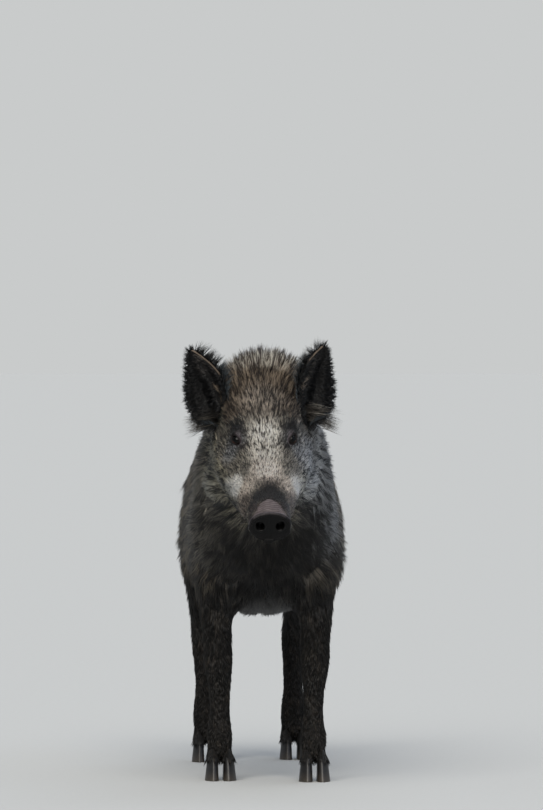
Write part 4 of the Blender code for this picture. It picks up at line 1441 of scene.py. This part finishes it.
def wet_eye(eye_side, sign):
    _, above, out = eye_axes(sign)

    def recipe(tree, place):
        centre = {0: place, 1: tuple(ball_centre(eye_side, sign))}
        from_centre = add(tree, "ShaderNodeVectorMath", centre, operation="SUBTRACT").outputs[0]

        def along(axis):
            inputs = {0: from_centre, 1: tuple(axis / BALL_RADIUS)}
            return add(tree, "ShaderNodeVectorMath", inputs, operation="DOT_PRODUCT").outputs["Value"]

        rings = add(tree, "ShaderNodeValToRGB", {"Fac": along(out)})
        stops = rings.color_ramp.elements
        for index, (position, code) in enumerate(IRIS):
            stop = stops[index] if index < 2 else stops.new(position)
            stop.position, stop.color = position, (*srgb(code), 1)
        # Painted shade of the upper lid: only the lower part of the ball shows the reddish brown.
        red = led(tree, along(-above), (0.26, 0.46))
        return {
            "Base Color": blended(tree, red, rings.outputs["Color"], "#40200f"),
            "Roughness": 0.30,
            "Specular IOR Level": 0.0,
            "Coat Weight": 0.6,
            "Coat Roughness": 0.02,
            "Coat IOR": 1.34,
        }

    return new_material(f"wet_brown_eye_{eye_side}", recipe)


for eye_side, sign in SIDES:
    eyeballs[eye_side].data.materials.append(wet_eye(eye_side, sign))
print("two wet eyes")


# %% Horn
# Hoof horn: layered keratin, nearly black, paler and scuffed at the ground, with fine lines down its wall.
def hoof_horn(tree, place):
    upright = {"Vector": place, "Scale": (1, 1, 0.12)}
    lines = noise(tree, add(tree, "ShaderNodeMapping", upright).outputs[0], 700.0, 3.0)
    height = add(tree, "ShaderNodeSeparateXYZ", {"Vector": place}).outputs["Z"]
    scuffs = {0: led(tree, height, (0.018, 0.0)), 1: noise(tree, place, 260.0, 6.0)}
    worn = add(tree, "ShaderNodeMath", scuffs, operation="MULTIPLY").outputs[0]
    streaks = led(tree, lines, stop=(0.7, 1.3))
    return {
        "Base Color": scaled(tree, blended(tree, worn, "#0c0a09", "#4c443a"), streaks),
        "Roughness": 0.46,
        "IOR": 1.54,
        "Normal": relief(tree, lines, 0.4, 0.0004),
    }


horn_material = new_material("hoof_horn", hoof_horn)
for made in horns.values():
    made.data.materials.append(horn_material)
print("horn on", len(horns), "pieces")

# %% [markdown]
# ## Floor and light
# A wide floor of pale paper meets an equally pale world, so that no horizon cuts the picture from any side.
# The light is an overcast sky: one broad sun high in front, a weak one behind that draws the ears and the
# standing hair of the crown, a faint cool one on her left, and the pale world itself, which fills the rest.

# %% Floor
FLOOR_RADIUS = 40  # metres
disc = dict(vertices=96, radius=FLOOR_RADIUS, fill_type="NGON")
floor = primitive("paper_floor", bpy.ops.mesh.primitive_circle_add, **disc)
in_edit_mode(floor, lambda: bpy.ops.mesh.inset(thickness=FLOOR_RADIUS - 2.0))


def paper(tree, place):
    """Matte paper: a plain grey with faint fibres."""
    fibres = noise(tree, place, 90.0, 3.0)
    colour = blended(tree, fibres, "#b2b4b4", "#b8baba")
    return {"Base Color": colour, "Roughness": 1.0, "Specular IOR Level": 0.0}


floor.data.materials.append(new_material("matte_paper", paper))
print("the floor is", 2 * FLOOR_RADIUS, "metres across")


# %% Lights
def broad_sun(name, azimuth, elevation, spread_angle, strength, code):
    """A sun as wide as a bright patch of cloud."""
    bpy.ops.object.light_add(type="SUN", location=(0, 0, 4))
    light = bpy.context.object
    light.name = name
    light.data.angle = math.radians(spread_angle)
    light.data.energy = strength
    light.data.color = srgb(code)
    light.rotation_euler = aimed(direction(azimuth, elevation))


# Each: its name, degrees round from straight ahead, degrees up, degrees wide, strength and colour.
broad_sun("bright_cloud", -10, 42, 50, 3.5, "#fff9f0")
broad_sun("cloud_behind", 165, 48, 50, 1.0, "#eaf1ff")
broad_sun("cool_side_light", 62, 28, 60, 0.35, "#cfe0ff")
# The world is seen paler than it shines, or it would fill the shadows between the locks.
world = bpy.data.worlds.new("pale_sky")
bpy.context.scene.world = world
world.use_nodes = True
tree = world.node_tree
tree.nodes.clear()
seen, shining = (
    add(tree, "ShaderNodeBackground", {"Color": code, "Strength": strength}).outputs[0]
    for code, strength in (("#c9cbcb", 1.0), ("#c3c9cf", 0.54))
)
is_seen = add(tree, "ShaderNodeLightPath").outputs["Is Camera Ray"]
either = add(tree, "ShaderNodeMixShader", {0: is_seen, 1: shining, 2: seen})
add(tree, "ShaderNodeOutputWorld", {"Surface": either.outputs[0]})
bpy.context.scene.view_settings.view_transform = "Standard"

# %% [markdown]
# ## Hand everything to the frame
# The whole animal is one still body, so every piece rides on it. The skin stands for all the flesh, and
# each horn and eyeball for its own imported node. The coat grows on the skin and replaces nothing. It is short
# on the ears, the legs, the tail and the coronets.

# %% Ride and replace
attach(skin, "root")
ears = ["ear_left", "ear_right"]
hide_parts("tail", *[node for node in FLESH if not node.startswith("eye")], *ears)
for piece in coats:
    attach(piece, "root")
for eye_side, ball in eyeballs.items():
    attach(ball, "root")
    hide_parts(f"eye_{eye_side}")
for node, made in horns.items():
    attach(made, "root")
    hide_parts(node)
print(len(coats) + len(horns) + 3, "pieces ride on the body")
